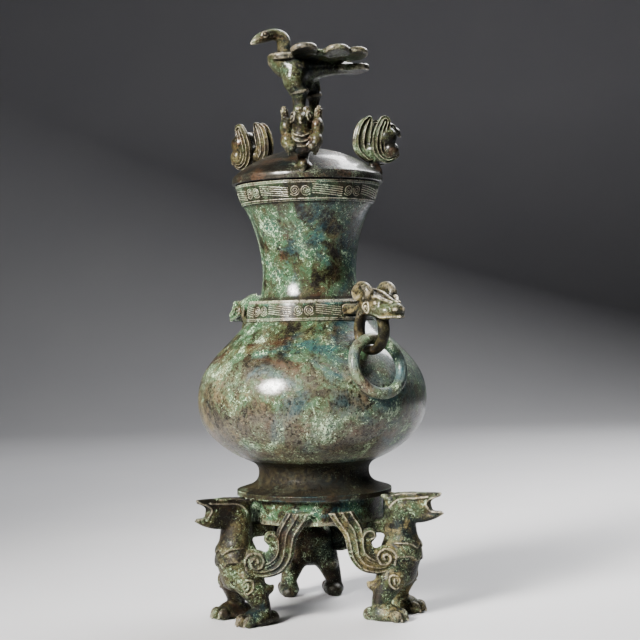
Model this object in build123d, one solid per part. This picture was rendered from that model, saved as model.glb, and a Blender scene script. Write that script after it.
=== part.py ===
# Bronze hu vessel on three winged beasts, with a lid of birds and two ring handles.
# Lengths are in millimetres and angles in degrees. +Z is up, the origin is on the vessel's
# axis at the level of the paw soles, and the two handles lie on the X axis.
import math
import os

from build123d import *

# Fits: how far apart two pieces stand where they meet
solder_gap = 0.10
loose_gap = 0.40
socket_clearance = 0.10
spigot_clearance = 0.35
bevel = 0.8

# Walls
vessel_wall = 3.2
lid_wall = 3.2

# Stand ring
beast_shoulder_height = 65.0
ring_height = 17.0
ring_outer_radius = 48.0
ring_wall = 7.0
ring_lip_wall = 3.0
ring_lip_height = 4.0
lip_headroom = 0.3

# Vessel body: heights are measured up from the underside of its foot
foot_rim_radius = 54.0
foot_rim_thickness = 3.5
foot_rim_land = 13.0
foot_waist_radius = 38.5
foot_waist_height = 15.5
foot_hollow_height = 16.0
floor_thickness = 4.0
belly_root_radius = 47.5
belly_root_height = 25.0
low_belly_radius = 66.0
low_belly_height = 36.5
belly_radius = 79.8
belly_height = 66.0
high_belly_radius = 69.5
high_belly_height = 93.5
shoulder_radius = 44.0
shoulder_height = 120.4
shoulder_band_height = 14.0
shoulder_band_top_radius = 42.7
band_relief = 0.9
neck_base_radius = 36.5
neck_radius = 32.7
neck_waist_rise = 22.6
neck_flare_radius = 37.3
neck_flare_drop = 17.8
neck_top_radius = 45.0
neck_top_height = 200.5
mouth_band_height = 14.0
mouth_radius = 50.4
mouth_bore_radius = 43.5
mouth_bore_depth = 12.0

# Lid
lid_radius = 52.5
lid_rim_height = 5.5
lid_shadow_gap = 1.2
lid_seat_radius = 49.5
lid_dome_radius = 79.0
lid_rim_bevel = 1.0
spigot_length = 9.0
spigot_wall = 3.0
lid_turn = -14.0

# Birds round the lid
lid_bird_angles = (-23.0, 84.0, 208.0)
lid_bird_inset = 4.5
lid_bird_height = 38.0
lid_bird_tenon_radius = 2.6
lid_bird_tenon_length = 6.0
lid_bird_leg_height = 10.0
lid_bird_chest_reach = 14.5
lid_bird_head_height = 29.0
lid_bird_head_radius = 5.6
lid_bird_beak_length = 10.6
lid_bird_wing_thickness = 4.8
lid_bird_wing_spread = 6.0
lid_bird_tail_thickness = 9.6

# Bird on the crown
crown_bird_heading = -90.0
crown_leg_length = 38.0
crown_leg_radius = 3.8
crown_leg_spacing = 14.0
crown_stride = 16.0
crown_thigh_radius = 7.0
crown_thigh_height = 16.0
crown_tenon_radius = 2.4
crown_rivet_radius = 4.0
crown_rivet_height = 2.0
crown_plate_thickness = 4.2
crown_body_length = 46.0
crown_body_width = 22.0
crown_neck_radius = 4.4
crown_neck_rise = 23.4
crown_head_reach = 25.4
crown_wing_length = 52.0
crown_wing_width = 23.0
crown_wing_rise = 17.0

# Handles: a beast's head over a round loop
handle_angles = (0.0, 180.0)
loop_radius = 13.6
loop_wire_radius = 3.4
loop_standoff = 27.5
loop_drop = 6.8
handle_head_length = 37.0
handle_head_width = 23.0
handle_head_height = 19.0
handle_head_dip = 18.0
handle_nose_reach = 97.0
handle_horn_radius = 6.0
handle_horn_width = 5.0
handle_eye_radius = 2.4
handle_mouth_gap = 2.6
handle_stem_width = 10.0
handle_stem_height = 9.0

# Carrying rings
carry_ring_radius = 18.9
carry_ring_wire_radius = 3.8

# Beasts under the stand ring
beast_angles = (-90.0, 30.0, 150.0)
beast_chest_radius = 64.6
beast_paw_radius = 58.5
beast_leg_spacing = 33.0
beast_leg_radius = 5.4
beast_paw_length = 30.0
beast_paw_width = 15.2
beast_paw_height = 9.4
beast_belly_height = 24.0
beast_neck_radius = 9.3
beast_chest_width = 26.0
beast_head_top = 84.0
beast_beak_reach = 95.0
beast_beak_gape = 13.0
beast_eye_radius = 2.8
bracket_width = 12.0
bracket_height = 9.0
bracket_lug_thickness = 4.0
bracket_lug_height = 5.0

# Wings of the beasts: flat scrolled straps that lie against the stand ring at their tips
wing_thickness = 5.0
wing_angle = 51.0
wing_scroll_length = 11.0
wing_scroll_radius = 8.6
wing_scroll_along = 37.0
wing_scroll_height = 42.4
wing_tip_height = 74.2
wing_strap_width = 14.4
wing_hook_radius = 5.0

# Levels that follow from the sizes above
ring_bottom = beast_shoulder_height
foot_bottom = ring_bottom + ring_height
ring_inner_radius = ring_outer_radius - ring_wall
lip_outer_radius = ring_inner_radius + ring_lip_wall
foot_hollow_radius = lip_outer_radius + socket_clearance
shoulder_z = foot_bottom + shoulder_height
band_top = shoulder_z + shoulder_band_height
neck_top_z = foot_bottom + neck_top_height
mouth_z = neck_top_z + mouth_band_height
loop_centre_radius = shoulder_radius + loop_standoff
loop_centre_height = shoulder_z - loop_drop
spigot_radius = mouth_bore_radius - spigot_clearance
lid_rim_bottom = mouth_z + lid_shadow_gap
lid_rim_top = lid_rim_bottom + lid_rim_height
dome_edge_radius = lid_radius - lid_rim_bevel
dome_centre = lid_rim_top - math.sqrt(lid_dome_radius**2 - dome_edge_radius**2)
lid_apex = dome_centre + lid_dome_radius
lid_bird_radius = lid_radius - lid_bird_inset
TURN = Axis.Z


def rz(radius, height):
    """A point of a half section, drawn in the XZ plane."""
    return (radius, 0.0, height)


def ellipse_level(radius, height, along, across, side=0.0):
    """A level ellipse whose centre is at (radius, side, height)."""
    return Pos(radius, side, height) * Ellipse(along, across)


def ellipse_facing(place, direction, half_width, half_height):
    """An ellipse that stands across a direction, its width level."""
    facing = Vector(*direction).normalized()
    across = Vector(0, 0, 1).cross(facing).normalized()
    return Plane(origin=place, x_dir=across, z_dir=facing) * Ellipse(half_width, half_height)


def turned(shape, angle):
    return Rot(0, 0, angle) * shape


def both_sides(shape):
    return [shape, mirror(shape, about=Plane.XZ)]


def joined(*shapes):
    """One solid out of pieces that overlap."""
    whole = shapes[0]
    for shape in shapes[1:]:
        whole = whole + shape
    return whole


def dome_height(radius):
    return dome_centre + math.sqrt(lid_dome_radius**2 - radius**2)


# Outer half section of the vessel body, as open curves from the foot to the neck
rim_top = rz(foot_rim_radius, foot_bottom + foot_rim_thickness)
waist = rz(foot_waist_radius, foot_bottom + foot_waist_height)
belly_root = rz(belly_root_radius, foot_bottom + belly_root_height)
low_belly = rz(low_belly_radius, foot_bottom + low_belly_height)
belly = rz(belly_radius, foot_bottom + belly_height)
high_belly = rz(high_belly_radius, foot_bottom + high_belly_height)
shoulder = rz(shoulder_radius, shoulder_z)
neck_base = rz(neck_base_radius, band_top)
neck_waist = rz(neck_radius, band_top + neck_waist_rise)
neck_flare = rz(neck_flare_radius, neck_top_z - neck_flare_drop)
neck_top = rz(neck_top_radius, neck_top_z)
UP = (0, 0, 1)
flare_curve = Spline(rim_top, waist, tangents=[(-1, 0, 0.35), UP])
low_curve = Spline(waist, belly_root, low_belly, belly, tangents=[UP, UP])
high_curve = Spline(belly, high_belly, shoulder, tangents=[UP, (-0.62, 0, 0.78)])
neck_curve = Spline(neck_base, neck_waist, neck_flare, neck_top, tangents=[(-0.5, 0, 0.87), (0.5, 0, 0.87)])


def inside(curve, where):
    """The point one wall thickness inside a curve of the outer half section."""
    point = curve.position_at(where)
    along = curve.tangent_at(where)
    return rz(point.X - vessel_wall * along.Z, point.Z + vessel_wall * along.X)


def vessel_body():
    floor_top = foot_bottom + foot_hollow_height + floor_thickness
    hollow_top = foot_bottom + foot_hollow_height
    bore_bottom = mouth_z - mouth_bore_depth
    mouth_band_bottom = rz(neck_top_radius + band_relief, neck_top_z)
    mouth_edge = rz(mouth_radius, mouth_z)
    band_bottom = rz(shoulder_radius + band_relief, shoulder_z)
    band_edge = rz(shoulder_band_top_radius, band_top)
    outer = [
        Line(rz(foot_hollow_radius, foot_bottom), rz(foot_rim_radius, foot_bottom)),
        Line(rz(foot_rim_radius, foot_bottom), rim_top),
        flare_curve,
        low_curve,
        high_curve,
        Line(shoulder, band_bottom),
        Line(band_bottom, band_edge),
        Line(band_edge, neck_base),
        neck_curve,
        Line(neck_top, mouth_band_bottom),
        Line(mouth_band_bottom, mouth_edge),
        Line(mouth_edge, rz(mouth_bore_radius, mouth_z)),
    ]
    bore_foot = rz(mouth_bore_radius, bore_bottom)
    throat = inside(neck_curve, 0.86)
    cavity_floor = rz(0, floor_top)
    cavity = Spline(
        throat,
        inside(neck_curve, 0.6),
        inside(neck_curve, 0.3),
        inside(neck_curve, 0.05),
        inside(high_curve, 0.9),
        inside(high_curve, 0.6),
        inside(high_curve, 0.3),
        inside(low_curve, 1.0),
        inside(low_curve, 0.75),
        inside(low_curve, 0.5),
        inside(low_curve, 0.3),
        inside(low_curve, 0.16),
        cavity_floor,
        tangents=[(-0.5, 0, -0.87), (-1, 0, 0)],
    )
    hollow_floor = rz(0, hollow_top)
    hollow_edge = rz(foot_hollow_radius, foot_bottom + ring_lip_height + lip_headroom)
    hollow = Spline(
        hollow_floor,
        rz(0.82 * foot_waist_radius, hollow_top - 0.3 * foot_hollow_height),
        inside(flare_curve, 0.8),
        hollow_edge,
        tangents=[(1, 0, 0), (0.9, 0, -0.4)],
    )
    inner = [
        Line(rz(mouth_bore_radius, mouth_z), bore_foot),
        Line(bore_foot, throat),
        cavity,
        Line(cavity_floor, hollow_floor),
        hollow,
        Line(hollow_edge, rz(foot_hollow_radius, foot_bottom)),
    ]
    return revolve(make_face(outer + inner), TURN)


def stand_ring():
    wall = Pos(0, 0, ring_bottom) * Cylinder(
        ring_outer_radius, ring_height, align=(Align.CENTER, Align.CENTER, Align.MIN)
    )
    lip = Pos(0, 0, foot_bottom) * Cylinder(
        lip_outer_radius, ring_lip_height, align=(Align.CENTER, Align.CENTER, Align.MIN)
    )
    hole = Pos(0, 0, ring_bottom) * Cylinder(
        ring_inner_radius, 2 * ring_height + ring_lip_height, align=(Align.CENTER, Align.CENTER, Align.MIN)
    )
    return wall + lip - hole


def crown_feet():
    """Where the crown bird's two legs meet the lid, in the lid's own frame."""
    left = turned(Pos(crown_stride / 2, crown_leg_spacing / 2, 0), crown_bird_heading)
    right = turned(Pos(-crown_stride / 2, -crown_leg_spacing / 2, 0), crown_bird_heading)
    return [left.position, right.position]


def lid():
    spigot_bottom = mouth_z - spigot_length
    spigot_inner = spigot_radius - spigot_wall
    inner_sphere = lid_dome_radius - lid_wall
    inner_edge_z = dome_centre + math.sqrt(inner_sphere**2 - spigot_inner**2)
    mid = spigot_inner * 0.6
    section = [
        Line(rz(spigot_inner, spigot_bottom), rz(spigot_radius, spigot_bottom)),
        Line(rz(spigot_radius, spigot_bottom), rz(spigot_radius, mouth_z)),
        Line(rz(spigot_radius, mouth_z), rz(lid_seat_radius, mouth_z)),
        Line(rz(lid_seat_radius, mouth_z), rz(lid_seat_radius, lid_rim_bottom)),
        Line(rz(lid_seat_radius, lid_rim_bottom), rz(lid_radius, lid_rim_bottom)),
        Line(rz(lid_radius, lid_rim_bottom), rz(lid_radius, lid_rim_top - lid_rim_bevel)),
        Line(rz(lid_radius, lid_rim_top - lid_rim_bevel), rz(dome_edge_radius, lid_rim_top)),
        ThreePointArc(
            rz(dome_edge_radius, lid_rim_top),
            rz(dome_edge_radius * 0.6, dome_height(dome_edge_radius * 0.6)),
            rz(0, lid_apex),
        ),
        Line(rz(0, lid_apex), rz(0, dome_centre + inner_sphere)),
        ThreePointArc(
            rz(0, dome_centre + inner_sphere),
            rz(mid, dome_centre + math.sqrt(inner_sphere**2 - mid**2)),
            rz(spigot_inner, inner_edge_z),
        ),
        Line(rz(spigot_inner, inner_edge_z), rz(spigot_inner, spigot_bottom)),
    ]
    shell = revolve(make_face(section), TURN)
    for angle in lid_bird_angles:
        depth = lid_bird_tenon_length + socket_clearance
        socket = Pos(lid_bird_radius, 0, dome_height(lid_bird_radius) - depth) * Cylinder(
            lid_bird_tenon_radius + socket_clearance,
            lid_bird_tenon_length * 2,
            align=(Align.CENTER, Align.CENTER, Align.MIN),
        )
        shell = shell - turned(socket, angle)
    for foot in crown_feet():
        hole = Pos(foot.X, foot.Y, lid_apex - 3 * lid_wall) * Cylinder(
            crown_tenon_radius + socket_clearance,
            6 * lid_wall,
            align=(Align.CENTER, Align.CENTER, Align.MIN),
        )
        shell = shell - hole
    return shell


def lid_bird():
    """One bird of the lid, facing outward along +X; small offsets are shares of its height."""
    base = dome_height(lid_bird_radius)
    root = lid_bird_radius
    unit = lid_bird_height / 38
    body_low = lid_bird_leg_height / unit
    head = lid_bird_head_height / unit
    reach = lid_bird_chest_reach / unit
    head_radius = lid_bird_head_radius / unit

    def level(out, up, along, across):
        return ellipse_level(root + out * unit, base + up * unit, along * unit, across * unit)

    body = loft(
        [
            level(0, -2.5, 5, 5.4),
            level(0.6, 0.4 * body_low, 3.8, 4.2),
            level(2, 0.75 * body_low, 5, 5),
            level(reach - 10, body_low + 1.5, 9.4, 8.4),
            level(reach - 9, body_low + 6, 9.2, 8.6),
            level(reach - 5, head - 7, 5.6, 5.6),
            level(reach - 3.6, head - 0.5, head_radius, head_radius),
            level(reach - 3.6, head + 4.5, 3, 3.6),
        ]
    )
    beak_root = Pos(root + (reach - 4) * unit, 0, base + (head + 0.6) * unit) * Rot(0, 108, 0)
    beak = beak_root * Cone(
        4 * unit,
        0.8 * unit,
        lid_bird_beak_length,
        align=(Align.CENTER, Align.CENTER, Align.MIN),
    )
    eye_length = 2 * lid_bird_head_radius + unit
    eye = Pos(root + (reach - 1) * unit, 0, base + (head + 1) * unit) * Rot(90, 0, 0) * Cylinder(2.2 * unit, eye_length)
    lean = math.radians(lid_bird_wing_spread)
    side_plane = Plane(
        origin=(root, 8.6 * unit, base + 10.5 * unit),
        x_dir=(1, 0, 0),
        z_dir=(0, -math.cos(lean), math.sin(lean)),
    )
    wing_outline = [
        Spline((15, 3), (14.5, -1.5), (7, -4.8), (-1.6, 3), (-2.6, 12), (2, 25.5), tangents=[(0.3, -1), (0.4, 1)]),
        Line((2, 25.5), (10, 26)),
        Spline((10, 26), (9, 18), (8.2, 9), (15, 3), tangents=[(-0.2, -1), (1, -0.6)]),
    ]
    side_face = scale(make_face(wing_outline), unit)
    wing = extrude(side_plane * side_face, lid_bird_wing_thickness / 2, both=True)
    middle_plane = Plane(origin=(root, 0, base), x_dir=(1, 0, 0), z_dir=(0, -1, 0))
    tail_outline = [
        Spline((1, 8), (-8, 11), (-13.8, 20), (-11.6, 30), (-4, 38), tangents=[(-1, 0), (1, 0.9)]),
        Spline((-4, 38), (0.6, 31), (-0.4, 20), (1, 8), tangents=[(1, -0.6), (0.3, -1)]),
    ]
    tail_face = scale(make_face(tail_outline), unit)
    tail = extrude(middle_plane * tail_face, lid_bird_tail_thickness / 2, both=True)
    figure = joined(body, beak, eye, tail, *both_sides(wing))
    figure = figure - Pos(0, 0, dome_centre) * Sphere(lid_dome_radius + solder_gap)
    tenon = Pos(root, 0, base - lid_bird_tenon_length) * Cylinder(
        lid_bird_tenon_radius,
        lid_bird_tenon_length + 4 * unit,
        align=(Align.CENTER, Align.CENTER, Align.MIN),
    )
    return figure + tenon


def crown_leg(place, side):
    """One leg of the crown bird, its tenon through the lid and the rivet head under it."""
    unit = crown_leg_length / 38
    knee = lid_apex + crown_leg_length
    hip = knee + crown_thigh_height
    hip_place = 0.5 * place + 5 * unit
    shank = loft(
        [
            ellipse_level(place, lid_apex - 3 * unit, crown_leg_radius + 1.6 * unit, crown_leg_radius + unit, side),
            ellipse_level(place, lid_apex + 4 * unit, crown_leg_radius, crown_leg_radius, side),
            ellipse_level(place, knee - 8 * unit, crown_leg_radius, crown_leg_radius, side),
            ellipse_level(place, knee + unit, crown_leg_radius + unit, crown_leg_radius + unit, side),
        ]
    )
    garter = Pos(place, side, knee) * Cylinder(crown_leg_radius + 2 * unit, 2.6 * unit)
    thigh = loft(
        [
            ellipse_level(place, knee, crown_leg_radius + unit, crown_leg_radius + unit, side),
            ellipse_level(0.5 * (place + hip_place), 0.5 * (knee + hip), crown_thigh_radius, 0.9 * crown_thigh_radius, side),
            ellipse_level(hip_place, hip + 2 * unit, 1.2 * crown_thigh_radius, crown_thigh_radius, 0.7 * side),
        ]
    )
    leg = joined(shank, garter, thigh)
    leg = leg - Pos(0, 0, dome_centre) * Sphere(lid_dome_radius + solder_gap)
    inner_z = dome_centre + math.sqrt((lid_dome_radius - lid_wall) ** 2 - place**2 - side**2)
    under = inner_z - solder_gap - 0.8 * unit
    tenon = Pos(place, side, under) * Cylinder(
        crown_tenon_radius,
        lid_apex + 6 * unit - under,
        align=(Align.CENTER, Align.CENTER, Align.MIN),
    )
    rivet = Pos(place, side, under) * Cylinder(
        crown_rivet_radius,
        crown_rivet_height,
        align=(Align.CENTER, Align.CENTER, Align.MAX),
    )
    return joined(leg, tenon, rivet)


def crown_spine():
    return lid_apex + crown_leg_length + crown_thigh_height + 5 * crown_leg_length / 38


def crown_bird_body():
    spine = crown_spine()
    unit = crown_leg_length / 38
    half = crown_body_length / 2
    wide = crown_body_width / 2
    trunk = loft(
        [
            ellipse_facing((-half - 2 * unit, 0, spine - unit), (1, 0, 0), 5 * unit, 2.8 * unit),
            ellipse_facing((-half * 0.55, 0, spine - 1.5 * unit), (1, 0, -0.05), wide * 0.8, 6.6 * unit),
            ellipse_facing((0, 0, spine - 3 * unit), (1, 0, 0), wide, 9.2 * unit),
            ellipse_facing((half * 0.55, 0, spine - 2 * unit), (1, 0, 0.1), wide * 0.9, 9 * unit),
            ellipse_facing((half, 0, spine + 1.5 * unit), (1, 0, 0.3), 4.5 * unit, 4.2 * unit),
        ]
    )
    root = half * 0.55
    high = spine + crown_neck_rise
    beak_tip = root + crown_head_reach
    thick = crown_neck_radius

    def neck_section(place, height, direction, radius):
        return ellipse_facing((place, 0, height), direction, radius, radius)

    neck = loft(
        [
            neck_section(root, spine + 2 * unit, (0.3, 0, 0.95), thick + unit),
            neck_section(root + 2.2 * unit, spine + 9 * unit, (0.2, 0, 0.98), thick),
            neck_section(root + 3.4 * unit, high - 7.5 * unit, (0.4, 0, 0.9), thick - 0.2 * unit),
            neck_section(root + 9 * unit, high - 3.6 * unit, (1, 0, 0.15), thick - 0.8 * unit),
            neck_section(root + 16.4 * unit, high - 5 * unit, (0.93, 0, -0.36), thick - 0.6 * unit),
            neck_section(beak_tip, high - 10 * unit, (0.85, 0, -0.52), 1.2 * unit),
        ]
    )
    eye = Pos(root + 17 * unit, 0, high - 4.4 * unit) * Rot(90, 0, 0) * Cylinder(1.4 * unit, 2 * thick + 0.4 * unit)
    breast = Pos(half * 0.66, 0, spine + 4 * unit) * Cylinder(11.6 * unit, crown_plate_thickness)
    tail_z = spine - 1.6 * unit
    tail_lobe = Pos(-half - 14.6 * unit, 5.4 * unit, tail_z) * Cylinder(8.4 * unit, crown_plate_thickness)
    tail_root = Pos(-half - 5 * unit, 0, tail_z) * Box(20 * unit, 15 * unit, crown_plate_thickness)
    left = crown_leg(crown_stride / 2, crown_leg_spacing / 2)
    right = crown_leg(-crown_stride / 2, -crown_leg_spacing / 2)
    return joined(trunk, neck, eye, breast, tail_root, *both_sides(tail_lobe), left, right)


def crown_wing(bird):
    """The bird's left wing: a lobed plate that rises from its flank."""
    spine = crown_spine()
    rise = math.radians(crown_wing_rise)
    face = Plane(
        origin=(0, 0, spine + 0.035 * crown_wing_length),
        x_dir=(1, 0, 0),
        z_dir=(0, -math.sin(rise), math.cos(rise)),
    )
    fore = 0.29 * crown_wing_length
    aft = fore - crown_wing_length
    outer = 1.17 * crown_wing_width
    lobe = 0.17 * crown_wing_length
    plate = (
        Pos(fore - lobe, outer - lobe) * Circle(lobe)
        + Pos(aft + lobe, outer - 1.3 * lobe) * Circle(lobe)
        + Pos(aft + 2.6 * lobe, outer - lobe) * Circle(lobe)
        + Pos((fore + aft) / 2 + 0.2 * lobe, 0.30 * outer) * Rectangle(0.62 * crown_wing_length, 0.62 * outer)
        + Pos(fore - lobe, 0.45 * outer) * Rectangle(1.7 * lobe, 0.5 * outer)
        + Pos(aft + 2.0 * lobe, 0.5 * outer) * Rectangle(2.4 * lobe, 0.5 * outer)
    )
    wing = extrude(face * plate, crown_plate_thickness / 2, both=True)
    beyond = Pos(0, 0.2 * crown_body_width, spine) * Box(
        3 * crown_wing_length,
        2 * crown_wing_width,
        4 * crown_wing_width,
        align=(Align.CENTER, Align.MIN, Align.CENTER),
    )
    return (wing & beyond) - bird


def handle():
    """The handle on the +X side: stem, beast's head and the loop under it."""
    loop = Pos(loop_centre_radius, 0, loop_centre_height) * Rot(90, 0, 0) * Torus(loop_radius, loop_wire_radius)
    dip = math.radians(handle_head_dip)
    fore = Vector(math.cos(dip), 0, -math.sin(dip))
    rise = Vector(math.sin(dip), 0, math.cos(dip))
    brow = loop_centre_height + loop_radius + loop_wire_radius + 5.0
    back_r = handle_nose_reach - handle_head_length * math.cos(dip)
    back = Vector(back_r, 0, brow)

    def across(share, half_width, half_height, lift=0.0):
        place = back + fore * (share * handle_head_length) + rise * lift
        return ellipse_facing((place.X, place.Y, place.Z), (fore.X, fore.Y, fore.Z), half_width, half_height)

    wide = handle_head_width / 2
    tall = handle_head_height / 2
    head = loft(
        [
            across(0.0, wide * 0.62, tall * 0.6),
            across(0.28, wide, tall),
            across(0.55, wide * 0.86, tall * 0.86),
            across(0.82, wide * 0.74, tall * 0.72, -0.6),
            across(1.0, wide * 0.5, tall * 0.42, -0.6),
        ]
    )
    place = back + fore * (0.14 * handle_head_length) + rise * (tall * 0.75)
    horn = Pos(place.X, wide - 0.4 * handle_horn_width, place.Z) * Rot(90, 0, 0) * Cylinder(
        handle_horn_radius, handle_horn_width
    )
    place = back + fore * (0.45 * handle_head_length) + rise * (tall * 0.5)
    eye = Pos(place.X, wide * 0.78, place.Z) * Sphere(handle_eye_radius)
    place = back + fore * (0.92 * handle_head_length) + rise * (tall * 0.45)
    nostril = Pos(place.X, wide * 0.32, place.Z) * Sphere(0.34 * tall)
    place = back + fore * (0.95 * handle_head_length) + rise * (-0.28 * tall)
    mouth = Pos(place.X, 0, place.Z) * Rot(0, handle_head_dip, 0) * Box(
        0.42 * handle_head_length, 2 * handle_head_width, handle_mouth_gap
    )
    stem_z = shoulder_z + 0.5 * shoulder_band_height
    stem = Pos(neck_base_radius, 0, stem_z) * Box(
        back_r + 9.0 - neck_base_radius,
        handle_stem_width,
        handle_stem_height,
        align=(Align.MIN, Align.CENTER, Align.CENTER),
    )
    stem = fillet(stem.edges().filter_by(Axis.X), 0.3 * handle_stem_height)
    head = joined(head, *both_sides(horn), *both_sides(eye), *both_sides(nostril)) - mouth
    return joined(head, stem, loop) - vessel_envelope()


def vessel_envelope():
    """The vessel's outside near the handles, grown by the solder gap."""
    band_bottom = rz(shoulder_radius + band_relief + solder_gap, shoulder_z - solder_gap)
    band_edge = rz(shoulder_band_top_radius + solder_gap, band_top + solder_gap)

    def grown(where):
        point = high_curve.position_at(where)
        along = high_curve.tangent_at(where)
        return rz(point.X + solder_gap * along.Z, point.Z - solder_gap * along.X)

    skin = Spline(grown(0.0), grown(0.2), grown(0.4), grown(0.6), grown(0.8), grown(1.0), tangents=[UP, (-0.62, 0, 0.78)])
    outline = [
        Line(rz(0, foot_bottom + belly_height), grown(0.0)),
        skin,
        Line(grown(1.0), band_bottom),
        Line(band_bottom, band_edge),
        Line(band_edge, rz(0, band_top + solder_gap)),
        Line(rz(0, band_top + solder_gap), rz(0, foot_bottom + belly_height)),
    ]
    return revolve(make_face(outline), TURN)


def ring_hang_height():
    return loop_centre_height - loop_radius + loop_wire_radius + carry_ring_wire_radius + loose_gap


def ring_lean():
    """How far the ring leans out from the vertical when it lies against the belly."""
    reach = carry_ring_wire_radius + loose_gap
    low = 0.0
    high = 60.0
    for _ in range(30):
        lean = (low + high) / 2
        clear = True
        for part in range(-8, 9):
            turn = math.radians(part * 10.0)
            drop = carry_ring_radius * (1 + math.cos(turn))
            out = loop_centre_radius + drop * math.sin(math.radians(lean))
            side = carry_ring_radius * math.sin(turn)
            height = ring_hang_height() - drop * math.cos(math.radians(lean))
            centre = Vertex(math.hypot(out, side), 0, height)
            inward = high_curve.position_at(0).X
            near = min(centre.distance_to(high_curve), centre.distance_to(low_curve))
            if near < reach or (height < belly[2] and centre.X < inward):
                clear = False
        if clear:
            high = lean
        else:
            low = lean
    return high


def carry_ring():
    lean = ring_lean()
    centre_r = loop_centre_radius + carry_ring_radius * math.sin(math.radians(lean))
    centre_z = ring_hang_height() - carry_ring_radius * math.cos(math.radians(lean))
    return Pos(centre_r, 0, centre_z) * Rot(0, 90 - lean, 0) * Torus(carry_ring_radius, carry_ring_wire_radius)


def wing_plane():
    angle = math.radians(wing_angle)
    apart = ring_outer_radius + solder_gap + wing_thickness / 2
    return Plane(
        origin=(apart * math.cos(angle), apart * math.sin(angle), 0),
        x_dir=(math.sin(angle), -math.cos(angle), 0),
        z_dir=(-math.cos(angle), -math.sin(angle), 0),
    )


def beast_wing():
    """The wing on the +Y side of a beast that faces +X: drawn as (toward the beast, up)."""
    unit = beast_shoulder_height / 65
    top = wing_tip_height
    low = wing_scroll_height - wing_scroll_radius
    along = wing_scroll_along
    tip = (-0.4 * unit, top)
    notch = (tip[0] + 1.02 * wing_strap_width, top)
    under = (along, low)
    heart = (along - 6 * unit, wing_scroll_height)
    outer = Spline(
        under,
        (along - 9 * unit, low - 2 * unit),
        (15.6 * unit, low + 2.8 * unit),
        (10.6 * unit, low + 12.4 * unit),
        (9 * unit, low + 20 * unit),
        (7.2 * unit, top - 14 * unit),
        tip,
        tangents=[(-1, -0.1), (-0.75, 0.66)],
    )
    inner = Spline(
        notch,
        (7.2 * unit + wing_strap_width, top - 13 * unit),
        (9 * unit + wing_strap_width, low + 20 * unit),
        (11 * unit + wing_strap_width, low + 13.4 * unit),
        heart,
        tangents=[(0.6, -0.8), (1, -0.3)],
    )
    strap = make_face([outer, Line(tip, notch), inner, Line(heart, under)])
    scroll = Pos(along, wing_scroll_height) * Ellipse(wing_scroll_length, wing_scroll_radius)
    hook = Pos(10.6 * unit + wing_strap_width, top - 17.2 * unit) * Circle(wing_hook_radius)
    return extrude(wing_plane() * (strap + scroll + hook), wing_thickness / 2, both=True)


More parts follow.
